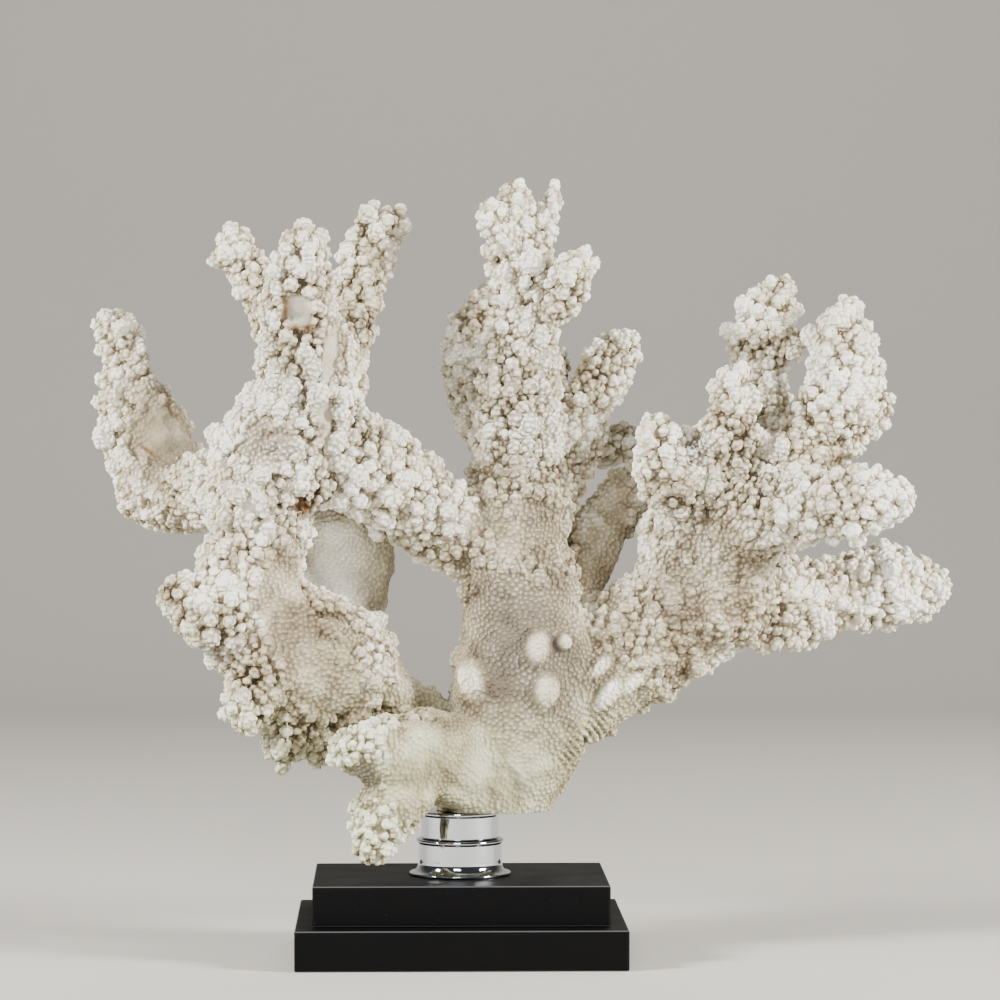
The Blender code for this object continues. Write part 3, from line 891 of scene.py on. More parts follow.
    def marked(self, points: np.ndarray, *shapes: Shape) -> np.ndarray:
        """How strongly marks of some shapes act: the greatest amount * weight.

        A stain or dust fades from its middle, knobs and cups thin out over a wide rim, and a bare face ends
        sharply.

        Args:
            points: Places on the surface.
            shapes: Which marks count.

        Returns:
            Strength at each point, from 0 to the greatest amount among the marks.
        """
        strength = np.zeros(len(points))
        for mark in MARKS:
            if mark.shape in shapes:
                low, high = RIMS.get(mark.shape, WIDE_RIM)
                level = np.clip((mark.weight(points) - low) / (high - low), 0, 1)
                strength = np.maximum(strength, mark.amount * level)
        return strength

    def body(self, rng: np.random.Generator) -> bpy.types.Mesh:
        """Merge the branches' tubes, fill the forks by smoothing, raise low lumps and saw the trunk flat.

        Args:
            rng: Source of the lumps.

        Returns:
            A closed mesh without knobs.
        """
        points, faces, count = [], [], 0
        for branch in BRANCHES:
            spare = self.fillet_rounds * self.body_grain ** 2 / 8
            tube_points, tube_faces = branch.tube(28, spare, self.shrink)
            points.append(tube_points)
            faces.append(tube_faces + count)
            count += len(tube_points)
        merged = self.evaluated(mesh_from("tubes", np.vstack(points), np.vstack(faces)),
                                [("REMESH", {"mode": "VOXEL", "voxel_size": self.body_grain}),
                                 ("SMOOTH", {"factor": 0.5, "iterations": self.fillet_rounds})])
        skin, quads = quads_from(merged)
        bpy.data.meshes.remove(merged)
        lumps = self.layered(skin, self.lumps, rng)
        lumps *= 1 - self.marked(skin, Shape.BARE)
        skin += corner_normals(skin, quads) * lumps[:, None]
        low, high = np.array([-14.0, -40.0, 20.0]), np.array([90.0, 40.0, self.cut_height])
        corners = np.array([(x, y, z) for x in (0, 1) for y in (0, 1) for z in (0, 1)], float)
        sides = np.array([(0, 1, 3, 2), (4, 6, 7, 5), (0, 4, 5, 1), (2, 3, 7, 6), (0, 2, 6, 4), (1, 5, 7, 3)])
        saw = placed("saw", mesh_from("saw", low + corners * (high - low), sides))
        sawn = self.evaluated(mesh_from("body", skin, quads),
                              [("BOOLEAN", {"operation": "DIFFERENCE", "object": saw})])
        bpy.data.objects.remove(saw)
        return sawn

    def layered(self, points: np.ndarray, layers: tuple[tuple[float, float], ...],
                rng: np.random.Generator) -> np.ndarray:
        """Sum of layers of noise: each layer's strength times its noise.

        Args:
            points: Places to read the noise at.
            layers: Strength and cell of each layer.
            rng: Source of the noise.

        Returns:
            The sum at each point.
        """
        return sum(strength * soft_noise(points, cell, rng) for strength, cell in layers)

    def balls(self, centre: np.ndarray, axes: np.ndarray, rows: int,
              columns: int) -> tuple[np.ndarray, np.ndarray]:
        """Ellipsoids: centre + x * first axis + y * second + z * third, for a unit ball's x, y and z.

        Args:
            centre: Their middles.
            axes: Their three half axes, as an array of balls by axes by coordinates.
            rows: Rings of points from pole to pole, the poles included.
            columns: Points in a ring.

        Returns:
            Points and triangles.
        """
        polar = np.linspace(0, math.pi, rows)[:, None]
        around = np.linspace(0, math.tau, columns, endpoint=False)[None, :]
        ball = np.stack([np.sin(polar) * np.cos(around), np.sin(polar) * np.sin(around),
                         np.cos(polar) * np.ones_like(around)], axis=-1).reshape(-1, 3)
        quads = grid_quads(rows, columns, wrap=True)
        faces = np.vstack([quads[:, [0, 1, 2]], quads[:, [0, 2, 3]]])
        points = centre[:, None, :] + np.einsum("pa,nac->npc", ball, axes)
        offset = (np.arange(len(centre)) * len(ball))[:, None, None]
        return points.reshape(-1, 3), (faces[None] + offset).reshape(-1, 3)

    def knobs(self, points: np.ndarray, faces: np.ndarray,
              rng: np.random.Generator) -> tuple[np.ndarray, np.ndarray]:
        """Scatter knobs over the body, as ellipsoids that lean from the surface's normal to the branch's tip.

        Their size follows the branch's half width with a spread of about a third, and one in four stands out
        like a stub. Where they lie like scales they point along the branch.

        Args:
            points: The body's points.
            faces: The body's triangles.
            rng: Source of the scatter.

        Returns:
            Middles and half axes.
        """
        corner = points[faces]
        cross = np.cross(corner[:, 1] - corner[:, 0], corner[:, 2] - corner[:, 0])
        area = 0.5 * np.linalg.norm(cross, axis=1)
        LOG.info("body: %.0f cm2", area.sum() / 100)
        habit = self.habit
        pick = rng.choice(len(faces), size=int(area.sum() / habit.candidate_area), p=area / area.sum())
        u, v = rng.random((2, len(pick)))
        fold = u + v > 1
        u[fold], v[fold] = 1 - u[fold], 1 - v[fold]
        spot = corner[pick, 0] + u[:, None] * (corner[pick, 1] - corner[pick, 0]) \
            + v[:, None] * (corner[pick, 2] - corner[pick, 0])
        normal = cross[pick] / (2 * area[pick, None])
        on = self.nearest_branch(spot, 14.0)
        scaly = self.marked(spot, Shape.SCALES)
        knobbly = on.knobs * (1 - self.marked(spot, Shape.PLAIN, Shape.BARE))
        knobbly = np.maximum(knobbly, 0.8 * scaly)
        chance = habit.crowding * knobbly - habit.least + self.layered(spot, (habit.patchy,), rng)
        chance = np.clip(chance, 0, 1)
        keep = (rng.random(len(spot)) < chance) & (knobbly > 0.05)
        keep &= (spot[:, 2] > self.cut_height + 4) | (spot[:, 0] < -20)
        size = (habit.girth + habit.per_width * on.half_width) \
            * np.exp(rng.normal(0, habit.spread, len(spot))) * (habit.share[0] + habit.share[1] * knobbly)
        size = np.clip(size * (1 - 0.25 * scaly), *habit.limits)
        keep = np.nonzero(keep)[0]
        keep = keep[well_spaced(spot[keep], size[keep] * habit.spacing, rng)]
        spot, normal, size, knobbly = spot[keep], normal[keep], size[keep], knobbly[keep]
        flat, scaly = scaly[keep], scaly[keep, None]
        LOG.info("knobs: %d", len(keep))
        grow = normal * (1 - 0.6 * scaly) + (habit.lean[0] + habit.lean[1] * scaly) * on.heading[keep] \
            + (0, 0, 0.1) + rng.normal(0, habit.wander, spot.shape)
        grow /= np.linalg.norm(grow, axis=1, keepdims=True)
        side = np.cross(grow, rng.normal(0, 1, spot.shape) * (1 - scaly) + normal * scaly)
        side /= np.linalg.norm(side, axis=1, keepdims=True)
        third = np.cross(grow, side)
        stub = (rng.random(len(size)) < habit.stubs) * knobbly * (1 - flat)
        length = size * (0.95 + 0.25 * rng.random(len(size)) + 0.45 * stub + 0.5 * flat)
        lifted = length * (0.05 + 0.2 * rng.random(len(size)) + 0.3 * stub)
        middle = spot + grow * lifted[:, None] - normal * (0.5 * size * flat)[:, None]
        axes = np.stack([side * size[:, None] * rng.uniform(0.85, 1.15, (len(size), 1)),
                         third * size[:, None] * (1 - 0.35 * scaly), grow * length[:, None]], axis=1)
        return middle, axes

    def florets(self, middle: np.ndarray, axes: np.ndarray,
                rng: np.random.Generator) -> tuple[np.ndarray, np.ndarray]:
        """Crowd each knob's outer side with smaller ones: middle + 0.9 * a direction in its half axes.

        Args:
            middle: The knobs' middles.
            axes: The knobs' half axes.
            rng: Source of the scatter.

        Returns:
            Middles and half axes.
        """
        count = len(middle) * self.knob_florets
        direction = rng.normal(0, 1, (count, 3)) + (0.0, 0.0, 0.9)
        direction /= np.linalg.norm(direction, axis=1, keepdims=True)
        frame = np.repeat(axes, self.knob_florets, axis=0)
        spot = np.repeat(middle, self.knob_florets, axis=0) + 0.9 * np.einsum("na,nac->nc", direction, frame)
        radius = np.linalg.norm(frame[:, 0], axis=1) * rng.uniform(0.2, 0.36, count)
        return spot, radius[:, None, None] * np.eye(3)[None]

    def knobbed(self, rng: np.random.Generator) -> tuple[np.ndarray, np.ndarray, np.ndarray]:
        """Merge the body with its knobs.

        Args:
            rng: Source of the scatter.

        Returns:
            Points and fine quads of one closed surface, and how high each point is above the body.
        """
        core = placed("core", self.body(rng))
        points, faces = arrays_from(core.data)
        middle, axes = self.knobs(points, faces, rng)
        parts = [(points, faces), self.balls(middle, axes, 7, 10)]
        parts.append(self.balls(*self.florets(middle, axes, rng), 5, 6))
        start = np.cumsum([0] + [len(part[0]) for part in parts])
        raw = mesh_from("knobbed", np.vstack([part[0] for part in parts]),
                        np.vstack([part[1] + first for part, first in zip(parts, start)]))
        fine = self.evaluated(raw, [("REMESH", {"mode": "VOXEL", "voxel_size": self.fine_grain}),
                                    ("SMOOTH", {"factor": 0.5, "iterations": 2})])
        result, quads = quads_from(fine)
        wrapped = self.evaluated(fine, [("SHRINKWRAP", {"target": core})])
        rise = np.linalg.norm(result - quads_from(wrapped)[0], axis=1)
        bpy.data.meshes.remove(wrapped)
        bpy.data.objects.remove(core)
        LOG.info("fine surface: %d quads", len(quads))
        return result, quads, rise

    def nearest_seed(self, points: np.ndarray, seeds: np.ndarray, reach: float) -> np.ndarray:
        """Find each point's nearest seed.

        Args:
            points: Places on the surface.
            seeds: Places of the seeds.
            reach: Greatest distance looked at.

        Returns:
            Index of a seed for each point.
        """
        cells = CellHash(seeds, reach)
        gap = np.full(len(points), reach)
        nearest = np.zeros(len(points), int)
        for cell in ALL_CELLS:
            asked, stored, distance = cells.near(points, cell)
            closer = distance < gap[asked]
            asked, stored, distance = asked[closer], stored[closer], distance[closer]
            np.minimum.at(gap, asked, distance)
            best = distance == gap[asked]
            nearest[asked[best]] = stored[best]
        return nearest

    def cups(self, points: np.ndarray, rng: np.random.Generator) -> np.ndarray:
        """Lay small round cups over the surface and spread them evenly.

        To spread them, each cup moves to the mean of the points nearest to it, twice. Its radius is about four
        fifths of that of a disc with as much surface as those points have.

        Args:
            points: The fine surface.
            rng: Source of the scatter.

        Returns:
            Each point's offset from the middle of its nearest cup, in that cup's radii.
        """
        candidates = rng.choice(len(points), size=len(points) // 4, replace=False)
        pitch = self.cup_pitch * rng.uniform(0.8, 1.2, len(candidates))
        seeds = points[candidates[well_spaced(points[candidates], pitch, rng)]]
        LOG.info("cups: %d", len(seeds))
        for _ in range(self.cup_rounds):
            nearest = self.nearest_seed(points, seeds, 1.3 * self.cup_pitch)
            count = np.bincount(nearest, minlength=len(seeds))
            sums = [np.bincount(nearest, points[:, axis], len(seeds)) for axis in range(3)]
            seeds = np.stack(sums, axis=1) / np.maximum(count, 1)[:, None]
        nearest = self.nearest_seed(points, seeds, 1.3 * self.cup_pitch)
        count = np.maximum(np.bincount(nearest, minlength=len(seeds)), 3)
        radius = 0.82 * self.fine_grain * np.sqrt(count / math.pi)
        return (points - seeds[nearest]) / radius[nearest, None]

    def grown(self) -> GrownSurface:
        """Carry out the growth steps and work out what the finish needs at each point.

        Returns:
            The whole surface.
        """
        rng = np.random.default_rng(SEED)
        points, quads, rise = self.knobbed(rng)
        normals = corner_normals(points, quads)
        on = self.nearest_by_cell(points, 1.4)
        bare = self.marked(points, Shape.BARE)
        worn = self.marked(points, Shape.WORN)
        front = np.clip(-1.5 * normals[:, 1], 0, 1)
        rough = self.layered(points, self.roughness, rng)
        rough *= 1 - 0.9 * bare
        lift, swollen, rim = np.zeros((3, len(points)))
        for mark in MARKS:
            weight = mark.weight(points)
            if mark.shape is Shape.SWELLING:
                dome = np.exp(-np.log(np.maximum(weight, 1e-9)) ** 2)
                lift += mark.amount * dome
                swollen = np.maximum(swollen, dome)
                # Ring of painted shade around each swelling.
                rim = np.maximum(rim, np.clip(weight * (1 - dome) - 0.08, 0, 1))
            elif mark.shape is Shape.SCOOP:
                lift -= mark.amount * np.clip(weight * 1.3, 0, 1)
            elif mark.shape is Shape.RIPPLES:
                across, up = mark.turned(points)
                phase = (across + 0.03 * up ** 2) / self.ripple_pitch + 0.4 * soft_noise(points, 9.0, rng)
                lift += mark.amount * weight * np.sin(math.tau * phase)
        points += normals * (rough + lift * front)[:, None]
        soft = self.softened(points, quads, self.soft_rounds)
        crevice = ((soft - points) * normals).sum(axis=1)
        normals = corner_normals(soft, quads) * 0.4 + normals * 0.6
        normals /= np.linalg.norm(normals, axis=1, keepdims=True)
        offset = self.cups(points, rng)
        cup = np.clip(1 - (offset ** 2).sum(axis=1), 0, 1) ** 0.7 * (1 - bare) * (1 - worn)
        knobby = np.clip(2 * (on.knobs * (1 - self.marked(points, Shape.PLAIN))), 0, 1)
        points += normals * (cup * (self.cup_height[0] + knobby * np.ptp(self.cup_height)))[:, None]
        recipe = self.tones
        # Clean white skin and painted light from the pale marks, and cleaner swellings.
        pale = np.maximum(self.marked(points, Shape.PALE_SKIN_AND_PAINTED_LIGHT), recipe.swollen * swollen)
        # Knob tops lighter: partly cleaner skin, partly painted light.
        on_knob = recipe.knob[0] * np.clip(rise / recipe.knob_height, 0, 1) - recipe.knob[1]
        # Hollows darker: partly tan dust, partly painted shade.
        tone = recipe.base + knobby * on_knob - recipe.crevice * np.clip(crevice, *recipe.crevice_limits)
        tone += self.layered(points, recipe.patches[:2], rng)
        tone += self.layered(points, recipe.patches[2:], rng) * (1 - worn) \
            + recipe.pale * pale - recipe.rim * rim
        bare_tone, strength, cell = recipe.bare
        tone = tone * (1 - bare) + (bare_tone + strength * soft_noise(points, cell, rng)) * bare
        sole = (points[:, 2] < self.cut_height + 0.9) & (points[:, 0] > -16) & (np.abs(points[:, 1]) < 42)
        sole &= normals[:, 2] < -0.5
        points[sole, 2] = self.cut_height
        over = points[:, 0] > -16
        points[over, 2] = np.maximum(points[over, 2], self.cut_height)
        # The grey look carries grey dust and painted shade.
        looks = {"tone": tone, "cup": cup, "offset": offset, "stain": self.marked(points, Shape.STAIN),
                 "grey": self.marked(points, Shape.GREY) * (1 - swollen)}
        owner = self.tidy_owner(quads, on.node[quads[:, 0]])
        owner, names = self.split_heavy(points, quads, owner)
        return GrownSurface(points, quads, normals, owner, names, looks)

    def tidy_owner(self, quads: np.ndarray, owner: np.ndarray) -> np.ndarray:
        """Hand each small stray patch of faces to a node next to it.

        Args:
            quads: Faces.
            owner: Node of each face.

        Returns:
            The tidied owners.
        """
        one, other, _, _ = self.shared_sides(quads)
        for _ in range(2):
            same = owner[one] == owner[other]
            group = joined_groups(len(quads), np.stack([one[same], other[same]], axis=1))
            size = np.bincount(group, minlength=len(quads))[group]
            a, b = one[~same], other[~same]
            a, b = np.concatenate([a, b]), np.concatenate([b, a])
            stray = (size[a] < self.stray_quads) & (size[a] < size[b])
            if not stray.any():
                break
            new = np.full(len(quads), -1)
            new[group[a[stray]]] = owner[b[stray]]
            owner = np.where(new[group] >= 0, new[group], owner)
        return owner

    def split_heavy(self, points: np.ndarray, quads: np.ndarray,
                    owner: np.ndarray) -> tuple[np.ndarray, list[str]]:
        """Halve each label's faces at the middle of their longest extent until none has too many.

        Args:
            points: Vertex places.
            quads: Faces.
            owner: Node of each face.

        Returns:
            Label of each face, and the node of each label.
        """
        owner, names = owner.copy(), list(self.nodes)
        label = 0
        while label < len(names):
            mine = np.nonzero(owner == label)[0]
            if len(mine) <= self.piece_quads:
                label += 1
                continue
            spot = points[quads[mine, 0]]
            axis = int(np.argmax(np.ptp(spot, axis=0)))
            owner[mine[spot[:, axis] > np.median(spot[:, axis])]] = len(names)
            names.append(names[label])
        return owner, names

    def shared_sides(self, quads: np.ndarray) -> tuple[np.ndarray, np.ndarray, np.ndarray, np.ndarray]:
        """Pair up the faces that share a side.

        Args:
            quads: Faces of a closed surface.

        Returns:
            The first face, the second face, and the side's start and end as the first face runs.
        """
        start, end = quads.ravel(), np.roll(quads, -1, axis=1).ravel()
        key = np.minimum(start, end).astype(np.int64) * (int(quads.max()) + 1) + np.maximum(start, end)
        order = np.argsort(key, kind="stable")
        pair = key[order][:-1] == key[order][1:]
        first, second = order[:-1][pair], order[1:][pair]
        return first // 4, second // 4, start[first], end[first]

    def pieces(self, whole: GrownSurface) -> list[bpy.types.Object]:
        """Split the surface into closed pieces, at least one for each node.

        Where a piece borders on others, a fan from each border loop's middle closes it. The middle is drawn
        in by half the loop's reach times its mean normal, and the border is sharp, so that the fan never
        shades the skin.

        Args:
            whole: The whole surface.

        Returns:
            The pieces.
        """
        one, other, start, end = self.shared_sides(whole.quads)
        border = whole.owner[one] != whole.owner[other]
        one, other, start, end = one[border], other[border], start[border], end[border]
        made = []
        for label, name in enumerate(whole.names):
            mine = whole.quads[whole.owner == label]
            ahead, behind = whole.owner[one] == label, whole.owner[other] == label
            used = np.unique(mine)
            place = np.full(len(whole.points), -1)
            place[used] = np.arange(len(used))
            a = place[np.concatenate([start[ahead], end[behind]])]
            b = place[np.concatenate([end[ahead], start[behind]])]
            group = joined_groups(len(used), np.stack([a, b], axis=1))
            loops, which = np.unique(group[a], return_inverse=True)
            local = whole.points[used]
            middle = self.loop_mean(local[a], which, len(loops))
            inward = self.loop_mean(whole.normals[used][a], which, len(loops))
            away = np.linalg.norm(local[a] - middle[which], axis=1)
            reach = self.loop_mean(away[:, None], which, len(loops))
            quads = place[mine]
            triangles = np.vstack([quads[:, [0, 1, 2]], quads[:, [0, 2, 3]],
                                   np.stack([b, a, len(used) + which], axis=1)])
            title = f"{name}_grown" if label < len(self.nodes) else f"{name}_grown_far"
            mesh = mesh_from(title, np.vstack([local, middle - 0.5 * reach * inward]), triangles, MM)
            for look, values in whole.looks.items():
                vector = values.ndim == 2
                layer = mesh.attributes.new(look, "FLOAT_VECTOR" if vector else "FLOAT", "POINT")
                caps = np.ones((len(middle),) + values.shape[1:])
                layer.data.foreach_set("vector" if vector else "value",
                                       np.concatenate([values[used], caps]).astype(np.float32).ravel())
            mesh.shade_smooth()
            self.sharpen(mesh, a, b)
            piece = placed(title, mesh)
            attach(piece, "root")
            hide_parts(name)
            LOG.info("%s: %d triangles, %d border loops", piece.name, len(triangles), len(loops))
            made.append(piece)
        return made

    def loop_mean(self, values: np.ndarray, which: np.ndarray, count: int) -> np.ndarray:
        """Mean of the values in each loop.

        Args:
            values: One row for each border point.
            which: The loop of each border point.
            count: Number of loops.

        Returns:
            One row for each loop.
        """
        weight = np.bincount(which, minlength=count)
        return np.stack([np.bincount(which, column, count) for column in values.T], axis=1) / weight[:, None]

    def sharpen(self, mesh: bpy.types.Mesh, start: np.ndarray, end: np.ndarray) -> None:
        """Mark the edges between the given pairs of vertices as sharp.

        Args:
            mesh: The mesh.
            start: One end of each edge.
            end: The other end.
        """
        edges = np.empty(len(mesh.edges) * 2, np.int32)
        mesh.edges.foreach_get("vertices", edges)
        edges = np.sort(edges.reshape(-1, 2), axis=1).astype(np.int64)
        count = len(mesh.vertices)
        wanted = np.minimum(start, end).astype(np.int64) * count + np.maximum(start, end)
        sharp = np.isin(edges[:, 0] * count + edges[:, 1], wanted)
        layer = mesh.attributes.get("sharp_edge") or mesh.attributes.new("sharp_edge", "BOOLEAN", "EDGE")
        layer.data.foreach_set("value", sharp)


def node(tree: bpy.types.NodeTree, kind: str, links: dict[str, object] | None = None,
         **settings: object) -> bpy.types.Node:
    """Add a node with its settings and links.

    Args:
        tree: The material's tree.
        kind: The node's type name.
        links: Input name or index to an output socket, or to a plain value.
        settings: Properties of the node.

    Returns:
        The new node.
    """
    made = tree.nodes.new(kind)
    for name, value in settings.items():
        setattr(made, name, value)
    for name, value in (links or {}).items():
        socket = made.inputs[name]
        if isinstance(value, bpy.types.NodeSocket):
            tree.links.new(value, socket)
        else:
            socket.default_value = value
    return made


@dataclass(frozen=True)
class Aragonite:
    """Bleached coral skeleton, dry and unpolished: a chalky matt white with tan dust in its hollows.

    It gives the eye a soft, slightly glowing white with no gloss, warmer and darker in its hollows, where tan
    dust lies and painted shade falls.
    """

    # Tone scale from dark to light: the dark end also carries painted shade in hollows and around swellings,
    # the light end painted light on knob tops and pale marks.
    scale: tuple[tuple[float, str], ...] = ((0.0, "#5A4D38"), (0.22, "#8D8067"), (0.48, "#B8AE95"),
                                            (0.76, "#DDD7C4"), (1.0, "#FAF8EF"))
    stain: str = "#6E4D22"
    # Grey dust, which also serves as painted shade.
    grey: str = "#6F685F"
    # Multiplied in below green_height, in metres: the foot of the coral has a faint green cast.
    green: str = "#F0F7EA"
    green_height: tuple[float, float] = (0.15, 0.10)
    cup_tone: float = 0.16
    # Heights of a vertex's cup between which the drawn cup comes in.
    cup_fade: tuple[float, float] = (0.36, 0.76)
    # The real grain is a few hundredths of a millimetre. This is as coarse as it needs to show.
    grain_mm: float = 0.35
    grain_depth_mm: float = 0.12
    cup_mm: float = 0.55
    roughness: float = 0.8
    ior: float = 1.6
    specular: float = 0.35

    def material(self) -> bpy.types.Material:
        """Build the finish from the surface's own attributes and the height.

        A cup's profile is sqrt(1 - offset ** 2), which is worked out anew at each shaded point and fades where
        two cups meet. It lifts the shading and lightens the tone, and the tone picks the colour on a scale.
        """
        made = bpy.data.materials.new("bleached aragonite, matt")
        made.use_nodes = True
        tree = made.node_tree
        shader = tree.nodes["Principled BSDF"]
        place = node(tree, "ShaderNodeTexCoord").outputs["Object"]
        look = {name: node(tree, "ShaderNodeAttribute", attribute_name=name).outputs["Fac"]
                for name in ("tone", "cup", "stain", "grey")}

        def mixed(factor: bpy.types.NodeSocket, first: object, second: object) -> bpy.types.NodeSocket:
            """Blend two colours."""
            return node(tree, "ShaderNodeMix", {"Factor": factor, 6: first, 7: second},
                        data_type="RGBA").outputs[2]

        def spread(value: bpy.types.NodeSocket, low: float, high: float, start: float = 0.0,
                   end: float = 1.0) -> bpy.types.NodeSocket:
            """Map a range of a value onto another, clamped."""
            return node(tree, "ShaderNodeMapRange",
                        {"Value": value, "From Min": low, "From Max": high, "To Min": start,
                         "To Max": end}).outputs[0]

        def combined(operation: str, first: object, second: object = 0.5) -> bpy.types.NodeSocket:
            """Work out one value from two, kept between 0 and 1."""
            return node(tree, "ShaderNodeMath", {0: first, 1: second}, operation=operation,
                        use_clamp=True).outputs[0]

        offset = node(tree, "ShaderNodeAttribute", attribute_name="offset").outputs["Vector"]
        squared = node(tree, "ShaderNodeVectorMath", {0: offset, 1: offset}, operation="DOT_PRODUCT")
        dome = combined("POWER", combined("SUBTRACT", 1.0, squared.outputs["Value"]), 0.5)
        dome = combined("MULTIPLY", dome, spread(look["cup"], *self.cup_fade))
        height = node(tree, "ShaderNodeSeparateXYZ", {"Vector": place}).outputs["Z"]
        tone = node(tree, "ShaderNodeMath", {0: dome, 1: self.cup_tone, 2: look["tone"]},
                    operation="MULTIPLY_ADD")
        ramp = node(tree, "ShaderNodeValToRGB",
                    {"Fac": combined("SUBTRACT", tone.outputs[0], 0.5 * self.cup_tone)}).color_ramp
        while len(ramp.elements) < len(self.scale):
            ramp.elements.new(0.5)
        for stop, (position, colour) in zip(ramp.elements, self.scale):
            stop.position, stop.color = position, linear(colour)
        skin = tree.nodes["Color Ramp"].outputs["Color"]
        skin = node(tree, "ShaderNodeMix",
                    {"Factor": spread(height, *self.green_height), 6: skin, 7: linear(self.green)},
                    data_type="RGBA", blend_type="MULTIPLY").outputs[2]
        # Grey dust and painted shade, kept off the cups' tops.
        skin = mixed(look["grey"], skin, mixed(spread(dome, 0.0, 1.2), linear(self.grey), skin))
        skin = mixed(look["stain"], skin, linear(self.stain))
        tree.links.new(skin, shader.inputs["Base Color"])
        shader.inputs["Roughness"].default_value = self.roughness
        shader.inputs["IOR"].default_value = self.ior
        shader.inputs["Specular IOR Level"].default_value = self.specular
        grain = node(tree, "ShaderNodeTexNoise",
                     {"Vector": place, "Scale": 1 / (self.grain_mm * MM), "Detail": 2.0})
        fine = node(tree, "ShaderNodeBump", {"Height": grain.outputs["Fac"], "Strength": 0.5,
                                             "Distance": self.grain_depth_mm * MM})
        cups = node(tree, "ShaderNodeBump", {"Height": dome, "Distance": self.cup_mm * MM,
                                             "Normal": fine.outputs["Normal"]})
        tree.links.new(cups.outputs["Normal"], shader.inputs["Normal"])
        return made


@dataclass(frozen=True)
class BlackLacquer:
    """Black satin lacquer sprayed over sanded wood: near black with a soft sheen and a little dust."""

    paint: str = "#030304"
    dust: str = "#6E6A66"
    # Painted highlight along the rounded edges.
    edge: str = "#4A4B4F"
    # Real dust is finer. Its specks are drawn as coarse as they need to show, and only the highest peaks of
    # the noise count as specks.
    speck_mm: float = 0.9
    speck_peaks: tuple[float, float] = (0.76, 0.84)
    speck_strength: float = 0.3
    cloud_mm: float = 22.0
    sheen: tuple[float, float] = (0.5, 0.68)
    ior: float = 1.5
    specular: float = 0.1
    peel_mm: float = 1.6
    peel_depth_mm: float = 0.05

    def material(self) -> bpy.types.Material:
        """Build the finish: uneven sheen from spraying, specks of dust, and a painted highlight along the
        edges.
        """
        made = bpy.data.materials.new("black lacquer, satin")
        made.use_nodes = True
        tree = made.node_tree
        shader = tree.nodes["Principled BSDF"]
        place = node(tree, "ShaderNodeTexCoord").outputs["Object"]
        specks = node(tree, "ShaderNodeTexNoise",
                      {"Vector": place, "Scale": 1 / (self.speck_mm * MM), "Detail": 1.0})
        speck = node(tree, "ShaderNodeMapRange",
                     {"Value": specks.outputs["Fac"], "From Min": self.speck_peaks[0],
                      "From Max": self.speck_peaks[1], "To Min": 0.0, "To Max": self.speck_strength})
        colour = node(tree, "ShaderNodeMix", {"Factor": speck.outputs[0], 6: linear(self.paint),
                                              7: linear(self.dust)}, data_type="RGBA")
        # Painted highlight along the rounded edges, mixed in as lighter paint.
        edge = node(tree, "ShaderNodeAttribute", attribute_name="edge").outputs["Fac"]
        worn = node(tree, "ShaderNodeMix", {"Factor": edge, 6: colour.outputs[2], 7: linear(self.edge)},
                    data_type="RGBA")
        tree.links.new(worn.outputs[2], shader.inputs["Base Color"])
        cloud = node(tree, "ShaderNodeTexNoise",
                     {"Vector": place, "Scale": 1 / (self.cloud_mm * MM), "Detail": 3.0})
        sheen = node(tree, "ShaderNodeMapRange", {"Value": cloud.outputs["Fac"], "To Min": self.sheen[0],
                                                  "To Max": self.sheen[1]})
        tree.links.new(sheen.outputs[0], shader.inputs["Roughness"])
        shader.inputs["IOR"].default_value = self.ior
        shader.inputs["Specular IOR Level"].default_value = self.specular
        peel = node(tree, "ShaderNodeTexNoise",
                    {"Vector": place, "Scale": 1 / (self.peel_mm * MM), "Detail": 2.0})
        bump = node(tree, "ShaderNodeBump", {"Height": peel.outputs["Fac"], "Strength": 0.25,
                                             "Distance": self.peel_depth_mm * MM})
        tree.links.new(bump.outputs["Normal"], shader.inputs["Normal"])
        return made


@dataclass(frozen=True)
class ChromePlate:
    """Chrome plate on turned metal, polished: a clear, slightly cool mirror, smeared here and there."""

    tint: str = "#CDD2DA"
    smear_mm: float = 9.0
    polish: tuple[float, float] = (0.03, 0.12)

    def material(self) -> bpy.types.Material:
        """Build the finish: a mirror with a little smear."""
        made = bpy.data.materials.new("chrome plate, polished")
        made.use_nodes = True
        tree = made.node_tree
        shader = tree.nodes["Principled BSDF"]
        shader.inputs["Metallic"].default_value = 1.0
        shader.inputs["Base Color"].default_value = linear(self.tint)
        place = node(tree, "ShaderNodeTexCoord").outputs["Object"]
        smear = node(tree, "ShaderNodeTexNoise",
                     {"Vector": place, "Scale": 1 / (self.smear_mm * MM), "Detail": 3.0})
        rough = node(tree, "ShaderNodeMapRange", {"Value": smear.outputs["Fac"], "To Min": self.polish[0],
                                                  "To Max": self.polish[1]})
        tree.links.new(rough.outputs[0], shader.inputs["Roughness"])
        return made


